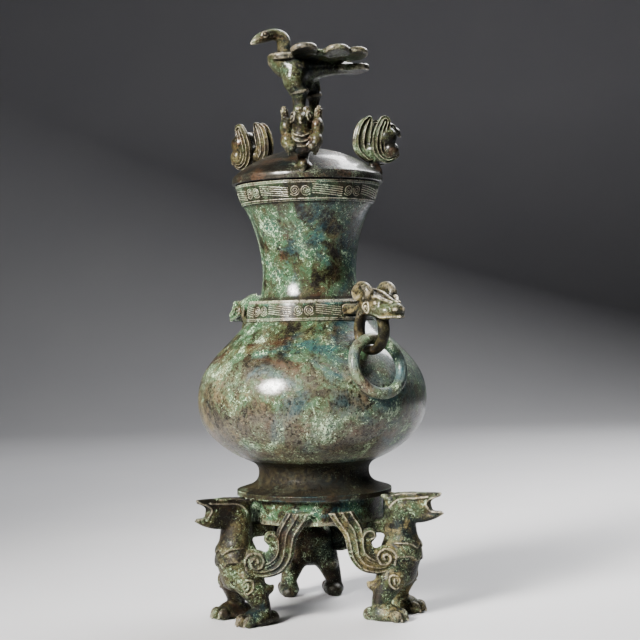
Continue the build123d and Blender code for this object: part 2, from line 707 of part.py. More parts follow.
def beast_body():
    """A beast that faces outward along +X, with sockets for its two wings."""
    unit = beast_shoulder_height / 65
    chest = beast_chest_radius
    half = beast_chest_width / 2
    low = beast_belly_height
    neck = beast_neck_radius
    brow = beast_head_top - 7 * unit
    torso = loft(
        [
            ellipse_level(chest - 3 * unit, low - 2.5 * unit, 6 * unit, 7 * unit),
            ellipse_level(chest - 1.6 * unit, low + 6 * unit, 11 * unit, 0.92 * half),
            ellipse_level(chest, low + 18 * unit, 12.4 * unit, half),
            ellipse_level(chest + 0.2 * unit, beast_shoulder_height - 10 * unit, neck + 0.4 * unit, neck + 0.4 * unit),
            ellipse_level(chest - 0.2 * unit, beast_shoulder_height, neck, neck - 0.2 * unit),
            ellipse_level(chest - 0.6 * unit, brow - unit, neck, neck - 0.8 * unit),
            ellipse_level(chest + unit, beast_head_top - unit, 5 * unit, 4.6 * unit),
        ]
    )
    tip = beast_beak_reach
    beak_long = tip - chest
    upper_tip = beast_head_top + 0.2 * unit
    upper = loft(
        [
            ellipse_facing((chest - 4 * unit, 0, brow - 0.6 * unit), (1, 0, 0), 6.6 * unit, 6 * unit),
            ellipse_facing((chest + 6 * unit, 0, brow), (1, 0, 0.05), 8 * unit, 6.8 * unit),
            ellipse_facing((chest + 0.5 * beak_long, 0, brow + 2.4 * unit), (1, 0, 0.2), 5.4 * unit, 4.6 * unit),
            ellipse_facing((chest + 0.77 * beak_long, 0, brow + 4.8 * unit), (1, 0, 0.3), 3.4 * unit, 3 * unit),
            ellipse_facing((tip - unit, 0, upper_tip), (1, 0, 0.35), unit, 0.9 * unit),
        ]
    )
    jaw = upper_tip - beast_beak_gape
    lower = loft(
        [
            ellipse_facing((chest + unit, 0, jaw - 0.6 * unit), (1, 0, 0), 6.8 * unit, 5.4 * unit),
            ellipse_facing((chest + 0.47 * beak_long, 0, jaw - 2 * unit), (1, 0, 0), 5.2 * unit, 4.8 * unit),
            ellipse_facing((chest + 0.77 * beak_long, 0, jaw - 1.6 * unit), (1, 0, 0.1), 3.2 * unit, 2.8 * unit),
            ellipse_facing((tip, 0, jaw), (1, 0, 0.25), unit, 0.9 * unit),
        ]
    )
    cheek = Pos(chest + 0.44 * beak_long, 0, brow - 1.6 * unit) * Sphere(6 * unit)
    gape_face = Plane.XZ * Pos(tip + 2 * unit, upper_tip - 0.5 * beast_beak_gape) * Ellipse(12 * unit, 0.43 * beast_beak_gape)
    gape = extrude(gape_face, beast_chest_width, both=True)
    eye = Pos(chest + 3.6 * unit, 0, brow - 1.2 * unit) * Rot(90, 0, 0) * Cylinder(beast_eye_radius, 2 * neck - unit)
    ear = Pos(chest - 6 * unit, 5.6 * unit, brow + 3.6 * unit) * Rot(0, -75, 0) * Cone(2.8 * unit, 0.8 * unit, 9 * unit)
    paw = beast_paw_radius
    side = beast_leg_spacing / 2
    leg_radius = beast_leg_radius
    flank = Pos(chest - 5 * unit, 0.6 * half, low + 16.5 * unit) * Sphere(0.6 * half)
    haunch = Pos(paw + 2.5 * unit, side - 6 * unit, low + 5 * unit) * Sphere(8.8 * unit)
    leg = loft(
        [
            ellipse_level(paw + 2 * unit, low + unit, 8 * unit, 7.4 * unit, side - 4.4 * unit),
            ellipse_level(paw - 1.5 * unit, 0.68 * low, leg_radius + 0.9 * unit, leg_radius + 0.7 * unit, side - 1.4 * unit),
            ellipse_level(paw - 2.9 * unit, 0.45 * low, leg_radius, leg_radius, side),
            ellipse_level(paw - 2 * unit, 0.17 * low, leg_radius + unit, leg_radius + 0.6 * unit, side),
        ]
    )
    long = beast_paw_length / 2
    wide = beast_paw_width / 2
    pad = loft(
        [
            ellipse_level(paw, 0, long, wide, side),
            ellipse_level(paw - 0.3 * unit, 0.5 * beast_paw_height, 0.94 * long, 0.96 * wide, side),
            ellipse_level(paw - 0.5 * unit, beast_paw_height, 0.5 * long, 0.66 * wide, side),
        ]
    )
    toe_radius = 0.46 * wide
    toes = []
    for step in (-1, 0, 1):
        reach = paw + long - (0.9 if step == 0 else 1.3) * toe_radius
        toes.append(Pos(reach, side + 0.66 * step * wide, 1.1 * toe_radius) * Sphere(toe_radius))
    spur = Pos(paw - 7.5 * unit, side - 0.6 * unit, 0.94 * low) * Rot(0, -85, 0) * Cone(3.6 * unit, 1.1 * unit, 9 * unit)
    reach = ring_inner_radius - solder_gap - bracket_lug_thickness
    bar = Pos(reach, 0, ring_bottom - bracket_height) * Box(
        chest - reach,
        bracket_width,
        bracket_height,
        align=(Align.MIN, Align.CENTER, Align.MIN),
    )
    lower_edges = bar.edges().filter_by(Axis.X).group_by(Axis.Z)[0]
    bar = fillet(lower_edges, 0.3 * bracket_height)
    lug = Pos(reach, 0, ring_bottom - bracket_height) * Box(
        bracket_lug_thickness,
        0.6 * bracket_width,
        bracket_height + bracket_lug_height,
        align=(Align.MIN, Align.CENTER, Align.MIN),
    )
    lug = lug & Cylinder(ring_inner_radius - solder_gap, 2 * foot_bottom)
    head = joined(upper, lower, cheek) - gape
    parts = [head, eye, bar, lug]
    for piece in (flank, haunch, leg, pad, spur, ear, *toes):
        parts += both_sides(piece)
    figure = joined(torso, *parts)
    for wing in both_sides(beast_wing()):
        figure = figure - wing
    return figure


def save(shape, name):
    export_step(shape, f"parts/{name}.step")


os.makedirs("parts", exist_ok=True)
save(vessel_body(), "vessel_body")
save(stand_ring(), "stand_ring")
save(turned(lid(), lid_turn), "lid")

one_bird = lid_bird()
for number, angle in enumerate(lid_bird_angles, start=1):
    save(turned(one_bird, angle + lid_turn), f"lid_bird_{number}")

crown = crown_bird_body()
left_wing, right_wing = both_sides(crown_wing(crown))
right_wing = right_wing - crown
crown_angle = crown_bird_heading + lid_turn
save(turned(crown, crown_angle), "crown_bird")
save(turned(left_wing, crown_angle), "crown_wing_left")
save(turned(right_wing, crown_angle), "crown_wing_right")

one_handle = handle()
one_ring = carry_ring()
for number, angle in enumerate(handle_angles, start=1):
    save(turned(one_handle, angle), f"handle_{number}")
    save(turned(one_ring, angle), f"carry_ring_{number}")

beast = beast_body()
wing_left, wing_right = both_sides(beast_wing())
for number, angle in enumerate(beast_angles, start=1):
    save(turned(beast, angle), f"beast_{number}")
    save(turned(wing_left, angle), f"beast_{number}_wing_left")
    save(turned(wing_right, angle), f"beast_{number}_wing_right")
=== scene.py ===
# %% [markdown]
# # A bronze hu on three winged beasts
#
# The vessel is a lidded wine jar of cast bronze. It stands on a ring that three winged beasts carry,
# two beast-head handles hold loose rings, and birds sit on the lid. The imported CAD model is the
# frame: it says where every piece is, and this file only gives the pieces their looks.

# %% Load the frame
import math

import bmesh
import bpy
import numpy as np
from mathutils import Matrix, Vector
from mathutils.bvhtree import BVHTree


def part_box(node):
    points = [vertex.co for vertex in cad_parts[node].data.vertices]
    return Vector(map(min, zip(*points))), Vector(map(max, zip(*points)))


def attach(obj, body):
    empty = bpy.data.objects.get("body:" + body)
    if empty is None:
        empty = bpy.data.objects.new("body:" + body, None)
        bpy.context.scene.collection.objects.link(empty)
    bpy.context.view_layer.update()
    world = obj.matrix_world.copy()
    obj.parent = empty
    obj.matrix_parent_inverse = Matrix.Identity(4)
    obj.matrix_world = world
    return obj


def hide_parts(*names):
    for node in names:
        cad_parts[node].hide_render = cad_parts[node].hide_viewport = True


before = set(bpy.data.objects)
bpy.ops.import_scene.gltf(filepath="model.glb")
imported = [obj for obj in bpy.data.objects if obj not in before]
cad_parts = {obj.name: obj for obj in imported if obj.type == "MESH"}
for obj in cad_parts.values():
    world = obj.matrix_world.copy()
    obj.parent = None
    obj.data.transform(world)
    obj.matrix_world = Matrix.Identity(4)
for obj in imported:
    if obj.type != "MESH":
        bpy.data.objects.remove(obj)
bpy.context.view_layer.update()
MM = 0.001
print("nodes in the frame:", len(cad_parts))

# %% [markdown]
# ## A block of clay
#
# The beasts, birds and handles were modelled by hand in wax or clay and then cast, so every form
# flows into the next. Meshes that are joined by booleans keep hard seams, and metaballs give no
# sharp edges. So each figure here starts as a block of voxels that holds the distance to its surface.
# Forms are added with a soft blend, lines are cut in or laid on, and one mesh is drawn at the end.


# %% Forms: solids given by their distance
class Form:
    """A solid as a distance in millimetres, negative inside, with the box that it lies in."""

    def __init__(self, low, high, distance):
        self.low = np.array(low, float)
        self.high = np.array(high, float)
        self.distance = distance

    def mirrored(self):
        """The same form on the other side of the XZ plane."""
        ends = np.array([self.low, self.high]) * np.array([1, -1, 1])
        return Form(ends.min(0), ends.max(0), lambda x, y, z: self.distance(x, -y, z))


def ball(centre, radii, tilt=0.0):
    """An egg-shaped form, tilted nose up about Y, in degrees."""
    a = math.radians(tilt)
    rx, ry, rz = radii

    def distance(x, y, z):
        dx, dy, dz = x - centre[0], y - centre[1], z - centre[2]
        u = dx * math.cos(a) + dz * math.sin(a)
        w = dz * math.cos(a) - dx * math.sin(a)
        near = np.sqrt((u / rx) ** 2 + (dy / ry) ** 2 + (w / rz) ** 2) + 1e-9
        steep = np.sqrt((u / rx**2) ** 2 + (dy / ry**2) ** 2 + (w / rz**2) ** 2) + 1e-9
        return near * (near - 1) / steep

    reach = max(radii)
    return Form(np.array(centre) - reach, np.array(centre) + reach, distance)


def smooth_path(points, steps):
    """Points on a smooth curve through the given ones (Catmull-Rom)."""
    given = np.array(points, float)
    ends = np.vstack([2 * given[0] - given[1], given, 2 * given[-1] - given[-2]])
    share = np.linspace(0, 1, steps, endpoint=False)[:, None]
    runs = []
    for p, q, r, s in zip(ends, ends[1:], ends[2:], ends[3:]):
        cubic = 3 * q - p - 3 * r + s
        square = 2 * p - 5 * q + 4 * r - s
        runs.append(0.5 * (2 * q + (r - p) * share + square * share**2 + cubic * share**3))
    return np.vstack(runs + [given[-1:]])


def across(points):
    """The same points on the other side of the XZ plane."""
    return np.array(points, float) * np.array([1, -1, 1])


def limb(points, radii, steps=5):
    """A round form along a smooth curve, with a radius at each point."""
    radii = np.broadcast_to(np.array(radii, float), (len(points),))
    path = smooth_path(np.column_stack([np.array(points, float), radii]), steps)

    def distance(x, y, z):
        best = None
        for a, b in zip(path, path[1:]):
            run = b[:3] - a[:3]
            length = float(run @ run) + 1e-12
            dx, dy, dz = x - a[0], y - a[1], z - a[2]
            t = np.clip((dx * run[0] + dy * run[1] + dz * run[2]) / length, 0, 1)
            gap = np.sqrt((dx - t * run[0]) ** 2 + (dy - t * run[1]) ** 2 + (dz - t * run[2]) ** 2)
            gap = gap - (a[3] + (b[3] - a[3]) * t)
            best = gap if best is None else np.minimum(best, gap)
        return best

    reach = path[:, 3:].max()
    return Form(path[:, :3].min(0) - reach, path[:, :3].max(0) + reach, distance)


def block(centre, half, edge=0.5, tilt=0.0):
    """A box with rounded edges, tilted nose up about Y."""
    a = math.radians(tilt)

    def distance(x, y, z):
        dx, dz = x - centre[0], z - centre[2]
        u = np.abs(dx * math.cos(a) + dz * math.sin(a)) - half[0] + edge
        v = np.abs(y - centre[1]) - half[1] + edge
        w = np.abs(dz * math.cos(a) - dx * math.sin(a)) - half[2] + edge
        out = np.sqrt(np.maximum(u, 0) ** 2 + np.maximum(v, 0) ** 2 + np.maximum(w, 0) ** 2)
        return out + np.minimum(np.maximum(u, np.maximum(v, w)), 0) - edge

    reach = float(np.linalg.norm(half))
    return Form(np.array(centre) - reach, np.array(centre) + reach, distance)


def hoop(centre, axis, radius, wire, wide=None):
    """A ring of round wire, or of a strap that is wide along the axis."""
    axis = np.array(axis, float) / np.linalg.norm(axis)
    flat = wire / (wide or wire)

    def distance(x, y, z):
        dx, dy, dz = x - centre[0], y - centre[1], z - centre[2]
        along = dx * axis[0] + dy * axis[1] + dz * axis[2]
        outward = np.sqrt(np.maximum(dx**2 + dy**2 + dz**2 - along**2, 0))
        return np.sqrt((outward - radius) ** 2 + (flat * along) ** 2) - wire

    reach = radius + max(wire, wide or 0)
    return Form(np.array(centre) - reach, np.array(centre) + reach, distance)


def ribbon(origin, along, up, path, widths, thickness, ridges=0, relief=0.5):
    """A flat strap that follows a curve drawn in a plane, with fine raised lines along it."""
    origin, along, up = (np.array(v, float) for v in (origin, along, up))
    normal = np.cross(along, up)
    halves = np.array(widths, float) / 2
    line = smooth_path(np.column_stack([np.array(path, float), halves]), steps=7)
    doming = 0.22
    edge = 1.2

    def distance(x, y, z):
        dx, dy, dz = x - origin[0], y - origin[1], z - origin[2]
        s = dx * along[0] + dy * along[1] + dz * along[2]
        h = dx * up[0] + dy * up[1] + dz * up[2]
        n = dx * normal[0] + dy * normal[1] + dz * normal[2]
        best = np.full(np.broadcast(s, h).shape, 1e3)
        wide = np.ones_like(best)
        side = np.zeros_like(best)
        for a, b in zip(line, line[1:]):
            run = b[:2] - a[:2]
            length = float(run @ run) + 1e-12
            t = np.clip(((s - a[0]) * run[0] + (h - a[1]) * run[1]) / length, 0, 1)
            ds = s - a[0] - t * run[0]
            dh = h - a[1] - t * run[1]
            half = a[2] + (b[2] - a[2]) * t
            gap = np.sqrt(ds**2 + dh**2)
            nearer = gap - half < best
            best = np.where(nearer, gap - half, best)
            wide = np.where(nearer, half, wide)
            side = np.where(nearer, np.sign(run[0] * dh - run[1] * ds) * gap, side)
        share = np.clip(side / wide, -1.2, 1.2)
        crown = thickness / 2 * (1 - doming * share**2)
        if ridges:
            wave = (1 + np.cos(share * math.pi * ridges)) / 2
            crown = crown - relief * (1 - wave**3)
        flat = np.abs(n) - crown
        return smooth_max(best, flat, edge)

    corners = origin + line[:, :1] * along + line[:, 1:2] * up
    reach = line[:, 2].max() + thickness
    return Form(corners.min(0) - reach, corners.max(0) + reach, distance)


def smooth_min(a, b, blend):
    """The nearer of two distances, rounded off where they meet."""
    h = np.maximum(blend - np.abs(a - b), 0) / blend
    return np.minimum(a, b) - h * h * blend / 4


def smooth_max(a, b, blend):
    """The farther of two distances, rounded off where they meet."""
    return -smooth_min(-a, -b, blend)


print("forms: ball, limb, block, hoop, ribbon")


# %% [markdown]
# ## From clay to mesh
#
# Marching cubes needs a long table, so the block is skinned with surface nets instead: one vertex in
# every voxel that the surface crosses, at the mean of the crossings on its edges, and one quad round
# every grid edge that is crossed. The faces come out even and square, which suits smooth shading.


# %% The clay block
class Clay:
    """A block of voxels between two corners, in millimetres, empty at first."""

    def __init__(self, low, high, step):
        self.low = np.array(low, float)
        self.step = step
        counts = np.ceil((np.array(high, float) - self.low) / step).astype(int) + 1
        self.field = np.full(counts, 50.0, np.float32)

    def window(self, form, margin):
        """Slices of the block round a form, and the coordinates in them."""
        size = np.array(self.field.shape)
        start = np.clip(np.floor((form.low - margin - self.low) / self.step).astype(int), 0, size)
        stop = np.clip(np.ceil((form.high + margin - self.low) / self.step).astype(int) + 1, 0, size)
        cut = tuple(slice(a, b) for a, b in zip(start, stop))
        axes = [self.low[i] + self.step * np.arange(start[i], stop[i], dtype=np.float32) for i in range(3)]
        return cut, np.meshgrid(*axes, indexing="ij", sparse=True)

    def add(self, form, blend=1.0):
        """Lays a form on; blend is how far the two surfaces flow together."""
        cut, (x, y, z) = self.window(form, 2 * blend + 2 * self.step)
        self.field[cut] = smooth_min(self.field[cut], form.distance(x, y, z), blend)

    def carve(self, form, blend=0.4):
        """Takes a form away."""
        cut, (x, y, z) = self.window(form, 2 * blend + 2 * self.step)
        self.field[cut] = smooth_max(self.field[cut], -form.distance(x, y, z), blend)

    def swell(self, form, amount):
        """Lifts the surface inside a form's box by an amount that varies from place to place."""
        cut, (x, y, z) = self.window(form, 0)
        self.field[cut] -= amount(x, y, z)

    def both(self, form, blend=1.0):
        """Lays a form on both sides."""
        self.add(form, blend)
        self.add(form.mirrored(), blend)

    def sample(self, points):
        """The field at any points, by trilinear steps."""
        place = (np.array(points, float) - self.low) / self.step
        base = np.clip(np.floor(place).astype(int), 0, np.array(self.field.shape) - 2)
        part = place - base
        total = np.zeros(len(place))
        for corner in np.ndindex(2, 2, 2):
            weight = np.prod(np.where(corner, part, 1 - part), axis=1)
            index = base + np.array(corner)
            total += weight * self.field[tuple(index.T)]
        return total

    def slope(self, points):
        """Outward direction of the surface near any points."""
        points = np.array(points, float)
        ways = []
        for axis in range(3):
            nudge = np.zeros(3)
            nudge[axis] = self.step
            ways.append(self.sample(points + nudge) - self.sample(points - nudge))
        ways = np.stack(ways, 1)
        return ways / (np.linalg.norm(ways, axis=1, keepdims=True) + 1e-9)

    def snap(self, points, height):
        """Moves points onto the surface, or a height above it."""
        points = np.array(points, float)
        for _ in range(6):
            move = np.clip(self.sample(points) - height, -3, 3)
            points = points - 0.8 * move[:, None] * self.slope(points)
        return points

    def thread(self, points, radius, height, steps=4):
        """Lays a raised line along the surface."""
        path = self.snap(smooth_path(points, steps), height)
        self.add(limb(path, radius, steps=1), blend=0.5)

    def threads(self, points, radius, height, steps=4):
        """Lays a raised line on both sides."""
        self.thread(points, radius, height, steps)
        self.thread(across(points), radius, height, steps)

    def lines(self, points, radius):
        """Cuts a line into the surface on both sides."""
        for way in (points, across(points)):
            path = self.snap(smooth_path(way, steps=4), 0.35 * radius)
            self.carve(limb(path, radius, steps=1), blend=0.3)

    def mesh(self, name):
        """Surface nets, in metres."""
        f = self.field
        inside = f < 0
        size = np.array(f.shape)
        corners = list(np.ndindex(2, 2, 2))

        def corner(values, c):
            return values[tuple(slice(c[i], size[i] - 1 + c[i]) for i in range(3))]

        filled = sum(corner(inside, c).astype(np.int8) for c in corners)
        cells = np.argwhere((filled > 0) & (filled < 8))
        number = np.full(size - 1, -1, np.int64)
        number[tuple(cells.T)] = np.arange(len(cells))
        total = np.zeros((len(cells), 3))
        count = np.zeros(len(cells))
        for a in corners:
            for axis in range(3):
                if a[axis]:
                    continue
                b = tuple(a[i] + (i == axis) for i in range(3))
                fa = f[tuple((cells + a).T)]
                fb = f[tuple((cells + b).T)]
                crossed = (fa < 0) != (fb < 0)
                share = np.where(crossed, fa / np.where(crossed, fa - fb, 1), 0)
                point = np.array(a) + share[:, None] * (np.array(b) - np.array(a))
                total += np.where(crossed[:, None], point, 0)
                count += crossed
        verts = (self.low + self.step * (cells + total / count[:, None])) * MM
        faces = []
        for axis in range(3):
            u, v = [i for i in range(3) if i != axis]
            lower = [slice(1, -1)] * 3
            upper = [slice(1, -1)] * 3
            lower[axis] = slice(0, -1)
            upper[axis] = slice(1, None)
            first = inside[tuple(lower)]
            second = inside[tuple(upper)]
            for start, flip in ((first & ~second, axis == 1), (~first & second, axis != 1)):
                at = np.argwhere(start)
                at[:, u] += 1
                at[:, v] += 1
                ring = []
                for du, dv in ((0, 0), (-1, 0), (-1, -1), (0, -1)):
                    cell = at.copy()
                    cell[:, u] += du
                    cell[:, v] += dv
                    ring.append(number[tuple(cell.T)])
                quads = np.stack(ring, 1)
                faces.append(quads[:, ::-1] if flip else quads)
        data = bpy.data.meshes.new(name)
        data.from_pydata(verts.tolist(), [], np.vstack(faces).tolist())
        data.update()
        return data


print("clay ready")


# %% [markdown]
# ## Worn edges and copies
#
# Handling polishes the edges of a bronze and leaves dirt in its hollows, and the patina darkens the
# hollows further as painted shade. A material can't see where an edge is unless the mesh tells it, so
# every piece carries an attribute called wear: how far a point stands out above its neighbours,
# smoothed a little. Its sign says edge or hollow.


# %% Wear, copies and finished pieces
def add_wear(data, rounds):
    """Stores how far each point stands out from the points round it."""
    count = len(data.vertices)
    co = np.empty(count * 3)
    data.vertices.foreach_get("co", co)
    co = co.reshape(-1, 3)
    out = np.empty(count * 3)
    data.vertices.foreach_get("normal", out)
    out = out.reshape(-1, 3)
    ends = np.empty(len(data.edges) * 2, int)
    data.edges.foreach_get("vertices", ends)
    a, b = ends.reshape(-1, 2).T
    links = np.bincount(a, minlength=count) + np.bincount(b, minlength=count) + 1e-9

    def spread(values):
        return (np.bincount(a, values[b], count) + np.bincount(b, values[a], count)) / links

    soft = co.copy()
    for _ in range(rounds):
        soft = np.stack([0.5 * soft[:, i] + 0.5 * spread(soft[:, i]) for i in range(3)], 1)
    wear = ((co - soft) * out).sum(1) / MM
    for _ in range(2):
        wear = 0.5 * wear + 0.5 * spread(wear)
    data.attributes.new("wear", "FLOAT", "POINT").data.foreach_set("value", wear)


def shift_wear(data, low, high, amount):
    """Makes a zone between two heights look more worn, or more like a hollow."""
    wear = data.attributes["wear"].data
    for vertex in data.vertices:
        if low < vertex.co.z < high:
            wear[vertex.index].value += amount


def copy_of(data, matrix):
    """A turned or mirrored copy of a mesh, its faces still pointing outwards."""
    copy = data.copy()
    copy.transform(matrix)
    if matrix.determinant() < 0:
        copy.flip_normals()
    return copy


def piece(name, data, body, nodes, finish):
    """A finished piece: smooth, in its material, riding on its body."""
    data.materials.clear()
    data.materials.append(finish)
    data.shade_smooth()
    made = bpy.data.objects.new(name, data)
    bpy.context.scene.collection.objects.link(made)
    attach(made, body)
    if nodes:
        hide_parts(*nodes)
    data.calc_loop_triangles()
    print(name, len(data.loop_triangles), "triangles")


print("every piece carries the attribute wear")


# %% [markdown]
# ## Node trees as sums
#
# Materials and Geometry Nodes are both graphs. Written node by node they are hard to follow, so a
# socket is wrapped in a small class that knows plus, minus and times: 1 - mask adds the Math node by
# itself. Every other node comes from one method.


# %% A socket that can be used in sums
class Wire:
    """A socket that can stand in a sum."""

    def __init__(self, graph, socket):
        self.graph = graph
        self.socket = socket

    def math(self, operation, first, second):
        return self.graph.node("ShaderNodeMath", {"operation": operation}, {0: first, 1: second})

    def __add__(self, other):
        return self.math("ADD", self, other)

    def __sub__(self, other):
        return self.math("SUBTRACT", self, other)

    def __mul__(self, other):
        return self.math("MULTIPLY", self, other)

    def __truediv__(self, other):
        return self.math("DIVIDE", self, other)

    def __radd__(self, other):
        return self.math("ADD", other, self)

    def __rsub__(self, other):
        return self.math("SUBTRACT", other, self)

    def __rmul__(self, other):
        return self.math("MULTIPLY", other, self)

    def __rtruediv__(self, other):
        return self.math("DIVIDE", other, self)

    def step(self, low, high):
        """0 below low, 1 above high, smooth between."""
        sockets = {"Value": self, "From Min": low, "From Max": high, "To Min": 0.0, "To Max": 1.0}
        return self.graph.node("ShaderNodeMapRange", {"interpolation_type": "SMOOTHSTEP"}, sockets)


class Graph:
    """A node tree that is written node by node."""

    def __init__(self, tree):
        self.tree = tree

    def node(self, kind, settings=None, sockets=None, out=0):
        """Adds a node: settings first, then the values or links of its sockets."""
        made = self.tree.nodes.new(kind)
        for name, value in (settings or {}).items():
            setattr(made, name, value)
        for key, value in (sockets or {}).items():
            if isinstance(value, Wire):
                self.tree.links.new(value.socket, made.inputs[key])
            else:
                made.inputs[key].default_value = value
        return Wire(self, made.outputs[out]) if len(made.outputs) else None

    def mix(self, share, first, second):
        """One colour over another."""
        sockets = {"Factor": share, 6: first, 7: second}
        return self.node("ShaderNodeMix", {"data_type": "RGBA"}, sockets, 2)

    def join(self, *parts):
        """One geometry out of several."""
        made = self.tree.nodes.new("GeometryNodeJoinGeometry")
        for part in reversed(parts):
            self.tree.links.new(part.socket, made.inputs[0])
        return Wire(self, made.outputs[0])


print("node trees can be written as sums")


# %% [markdown]
# ## Patina
#
# Buried bronze turns in layers: dark metal and olive tarnish at the bottom, then malachite green and a
# little blue azurite, red-brown cuprite where a crust fell off, earth and pale mint flecks. A painted
# picture would need its own map for every piece, so each layer is a cloud of noise with a soft
# threshold, laid over the last one. All of them read Object coordinates, so the crust runs on from
# piece to piece. The blue gathers on the camera's right, the shaded side, and the earth on the lit left,
# so the split also paints light and shade. Lower down the tone drops as painted shade, and the polish
# is weaker. The wear attribute rubs the crust off the edges and darkens the hollows: partly dark patina,
# partly painted shade.


# %% The patina material
DARK_METAL = (0.005, 0.0042, 0.003, 1)
TARNISH = (0.027, 0.027, 0.009, 1)
VERDIGRIS = (0.024, 0.060, 0.028, 1)
MINT = (0.360, 0.480, 0.310, 1)
AZURITE = (0.007, 0.044, 0.056, 1)
CUPRITE = (0.036, 0.017, 0.008, 1)
EARTH = (0.115, 0.092, 0.038, 1)
RUBBED = (0.500, 0.440, 0.325, 1)
# The camera's right, where the shade falls: azurite leans that way and earth to the lit left, so the split is
# partly painted light and shade.
COLD_SHADED_SIDE = (0.559, 0.829, 0.0)
UP = (0.0, 0.0, 1.0)


def patina(name, green, earth, rubbed, gloss, bare=0.0, drift=0.0, patchy=1.0):
    """Patina with more or less of each layer; drift moves the clouds, patchy is for red and blue."""
    finish = bpy.data.materials.new(name)
    finish.use_nodes = True
    graph = Graph(finish.node_tree)
    graph.tree.nodes.clear()
    place = graph.node("ShaderNodeTexCoord", out="Object")
    wear = graph.node("ShaderNodeAttribute", {"attribute_name": "wear"}, out="Fac")

    def from_place(operation, other, out=0):
        return graph.node("ShaderNodeVectorMath", {"operation": operation}, {0: place, 1: other}, out)

    def cloud(scale, detail, shift, rough=0.6, twist=0.6):
        moved = from_place("ADD", (shift, drift, -shift))
        sockets = {"Vector": moved, "Scale": scale, "Detail": detail, "Roughness": rough, "Distortion": twist}
        return graph.node("ShaderNodeTexNoise", None, sockets)

    def larger(first, second):
        return graph.node("ShaderNodeMath", {"operation": "MAXIMUM"}, {0: first, 1: second})

    broad = cloud(22, 6, 0.0, 0.6, 1.6)
    patch = cloud(120, 10, 0.4, 0.8, 1.2)
    fine = cloud(460, 6, 0.8, 0.75)
    grit = cloud(1000, 4, 1.2, 0.7)
    side = from_place("DOT_PRODUCT", COLD_SHADED_SIDE, "Value")
    level = from_place("DOT_PRODUCT", UP, "Value")

    # Layers of colour, from the metal outwards
    # The level term drops the tone towards the bottom, so low parts turn darker: painted shade.
    tone = 0.7 * patch + 0.4 * fine + 0.9 * broad + 0.1 * level.step(0.09, 0.16) - (0.60 + bare)
    colour = graph.mix(tone.step(0.39, 0.49), DARK_METAL, TARNISH)
    verdigris = tone.step(0.48 - 0.03 * green, 0.58 - 0.03 * green)
    colour = graph.mix(verdigris * (0.15 + 0.85 * green), colour, VERDIGRIS)
    red = (cloud(30, 8, 1.6, 0.7, 1.4) + 0.5 * fine).step(0.76, 0.90)
    colour = graph.mix(red * (0.9 * patchy), colour, CUPRITE)
    # Real azurite, but the side term puts more of it on the shaded right: partly painted shade.
    cold = (cloud(26, 8, 2.0, 0.7, 1.4) + 0.5 * fine + 1.1 * side).step(0.70, 0.92)
    colour = graph.mix(cold * (0.7 * green * patchy), colour, AZURITE)
    # Hollows turn to dark metal: partly the dark patina that gathers there, partly painted shade.
    hollow = (0.0 - wear).step(0.0, 0.16)
    colour = graph.mix(hollow * 0.9, colour, DARK_METAL)
    # Real earth, but the side term puts more of it on the lit left: partly painted light.
    soil = cloud(40, 8, 2.4, 0.7, 1.2) + 0.5 * fine - 0.7 * side
    soil = soil.step(0.82 - 0.16 * earth, 1.00 - 0.16 * earth)
    crust = soil * (0.1 + 1.2 * earth) * (1 - 0.7 * hollow)
    dirt = larger(crust, hollow * patch.step(0.46, 0.62) * (0.4 * earth))
    colour = graph.mix(dirt, colour, EARTH)
    flecks = (cloud(380, 6, 2.8, 0.75, 1.6) + 0.6 * broad).step(0.88, 0.93)
    speckle = larger(flecks * 0.9, grit.step(0.62, 0.68) * 0.15) * (1 - 0.85 * hollow)
    colour = graph.mix(speckle * (0.1 + 0.9 * green), colour, MINT)
    edge = wear.step(0.03, 0.22) * fine.step(0.36, 0.54) * rubbed
    colour = graph.mix(edge, colour, RUBBED)
    cells = {"Vector": place, "Scale": 420.0, "Randomness": 1.0}
    pits = graph.node("ShaderNodeTexVoronoi", {"feature": "F1"}, cells)
    pit = (1 - pits.step(0.16, 0.34)) * cloud(95, 5, 3.2).step(0.46, 0.54)
    colour = graph.mix(pit * 0.8, colour, DARK_METAL)

    # Roughness, relief and polish
    rough = 0.30 + 0.3 * hollow + 0.16 * verdigris + 0.25 * flecks + 0.35 * dirt + 0.12 * grit
    height = 0.5 * fine + 0.3 * grit + 0.4 * flecks + 0.3 * verdigris - 0.7 * pit
    bump = graph.node("ShaderNodeBump", None, {"Strength": 0.7, "Distance": 0.0009, "Height": height})
    polish = (0.4 + 0.6 * fine.step(0.42, 0.58)) * (0.1 + 0.9 * level.step(0.10, 0.16))
    sockets = {
        "Base Color": colour,
        "Roughness": rough,
        "Normal": bump,
        "Metallic": 0.35 * (1 - dirt) * (1 - flecks) * (1 - 0.7 * verdigris),
        "Specular IOR Level": 0.08,
        "Coat Weight": gloss * polish * (1 - dirt) * (1 - 0.9 * hollow),
        "Coat Roughness": 0.15,
    }
    shader = graph.node("ShaderNodeBsdfPrincipled", None, sockets)
    graph.node("ShaderNodeOutputMaterial", None, {"Surface": shader})
    return finish


vessel_patina = patina("vessel_patina", green=1.0, earth=0.3, rubbed=0.4, gloss=1.0)
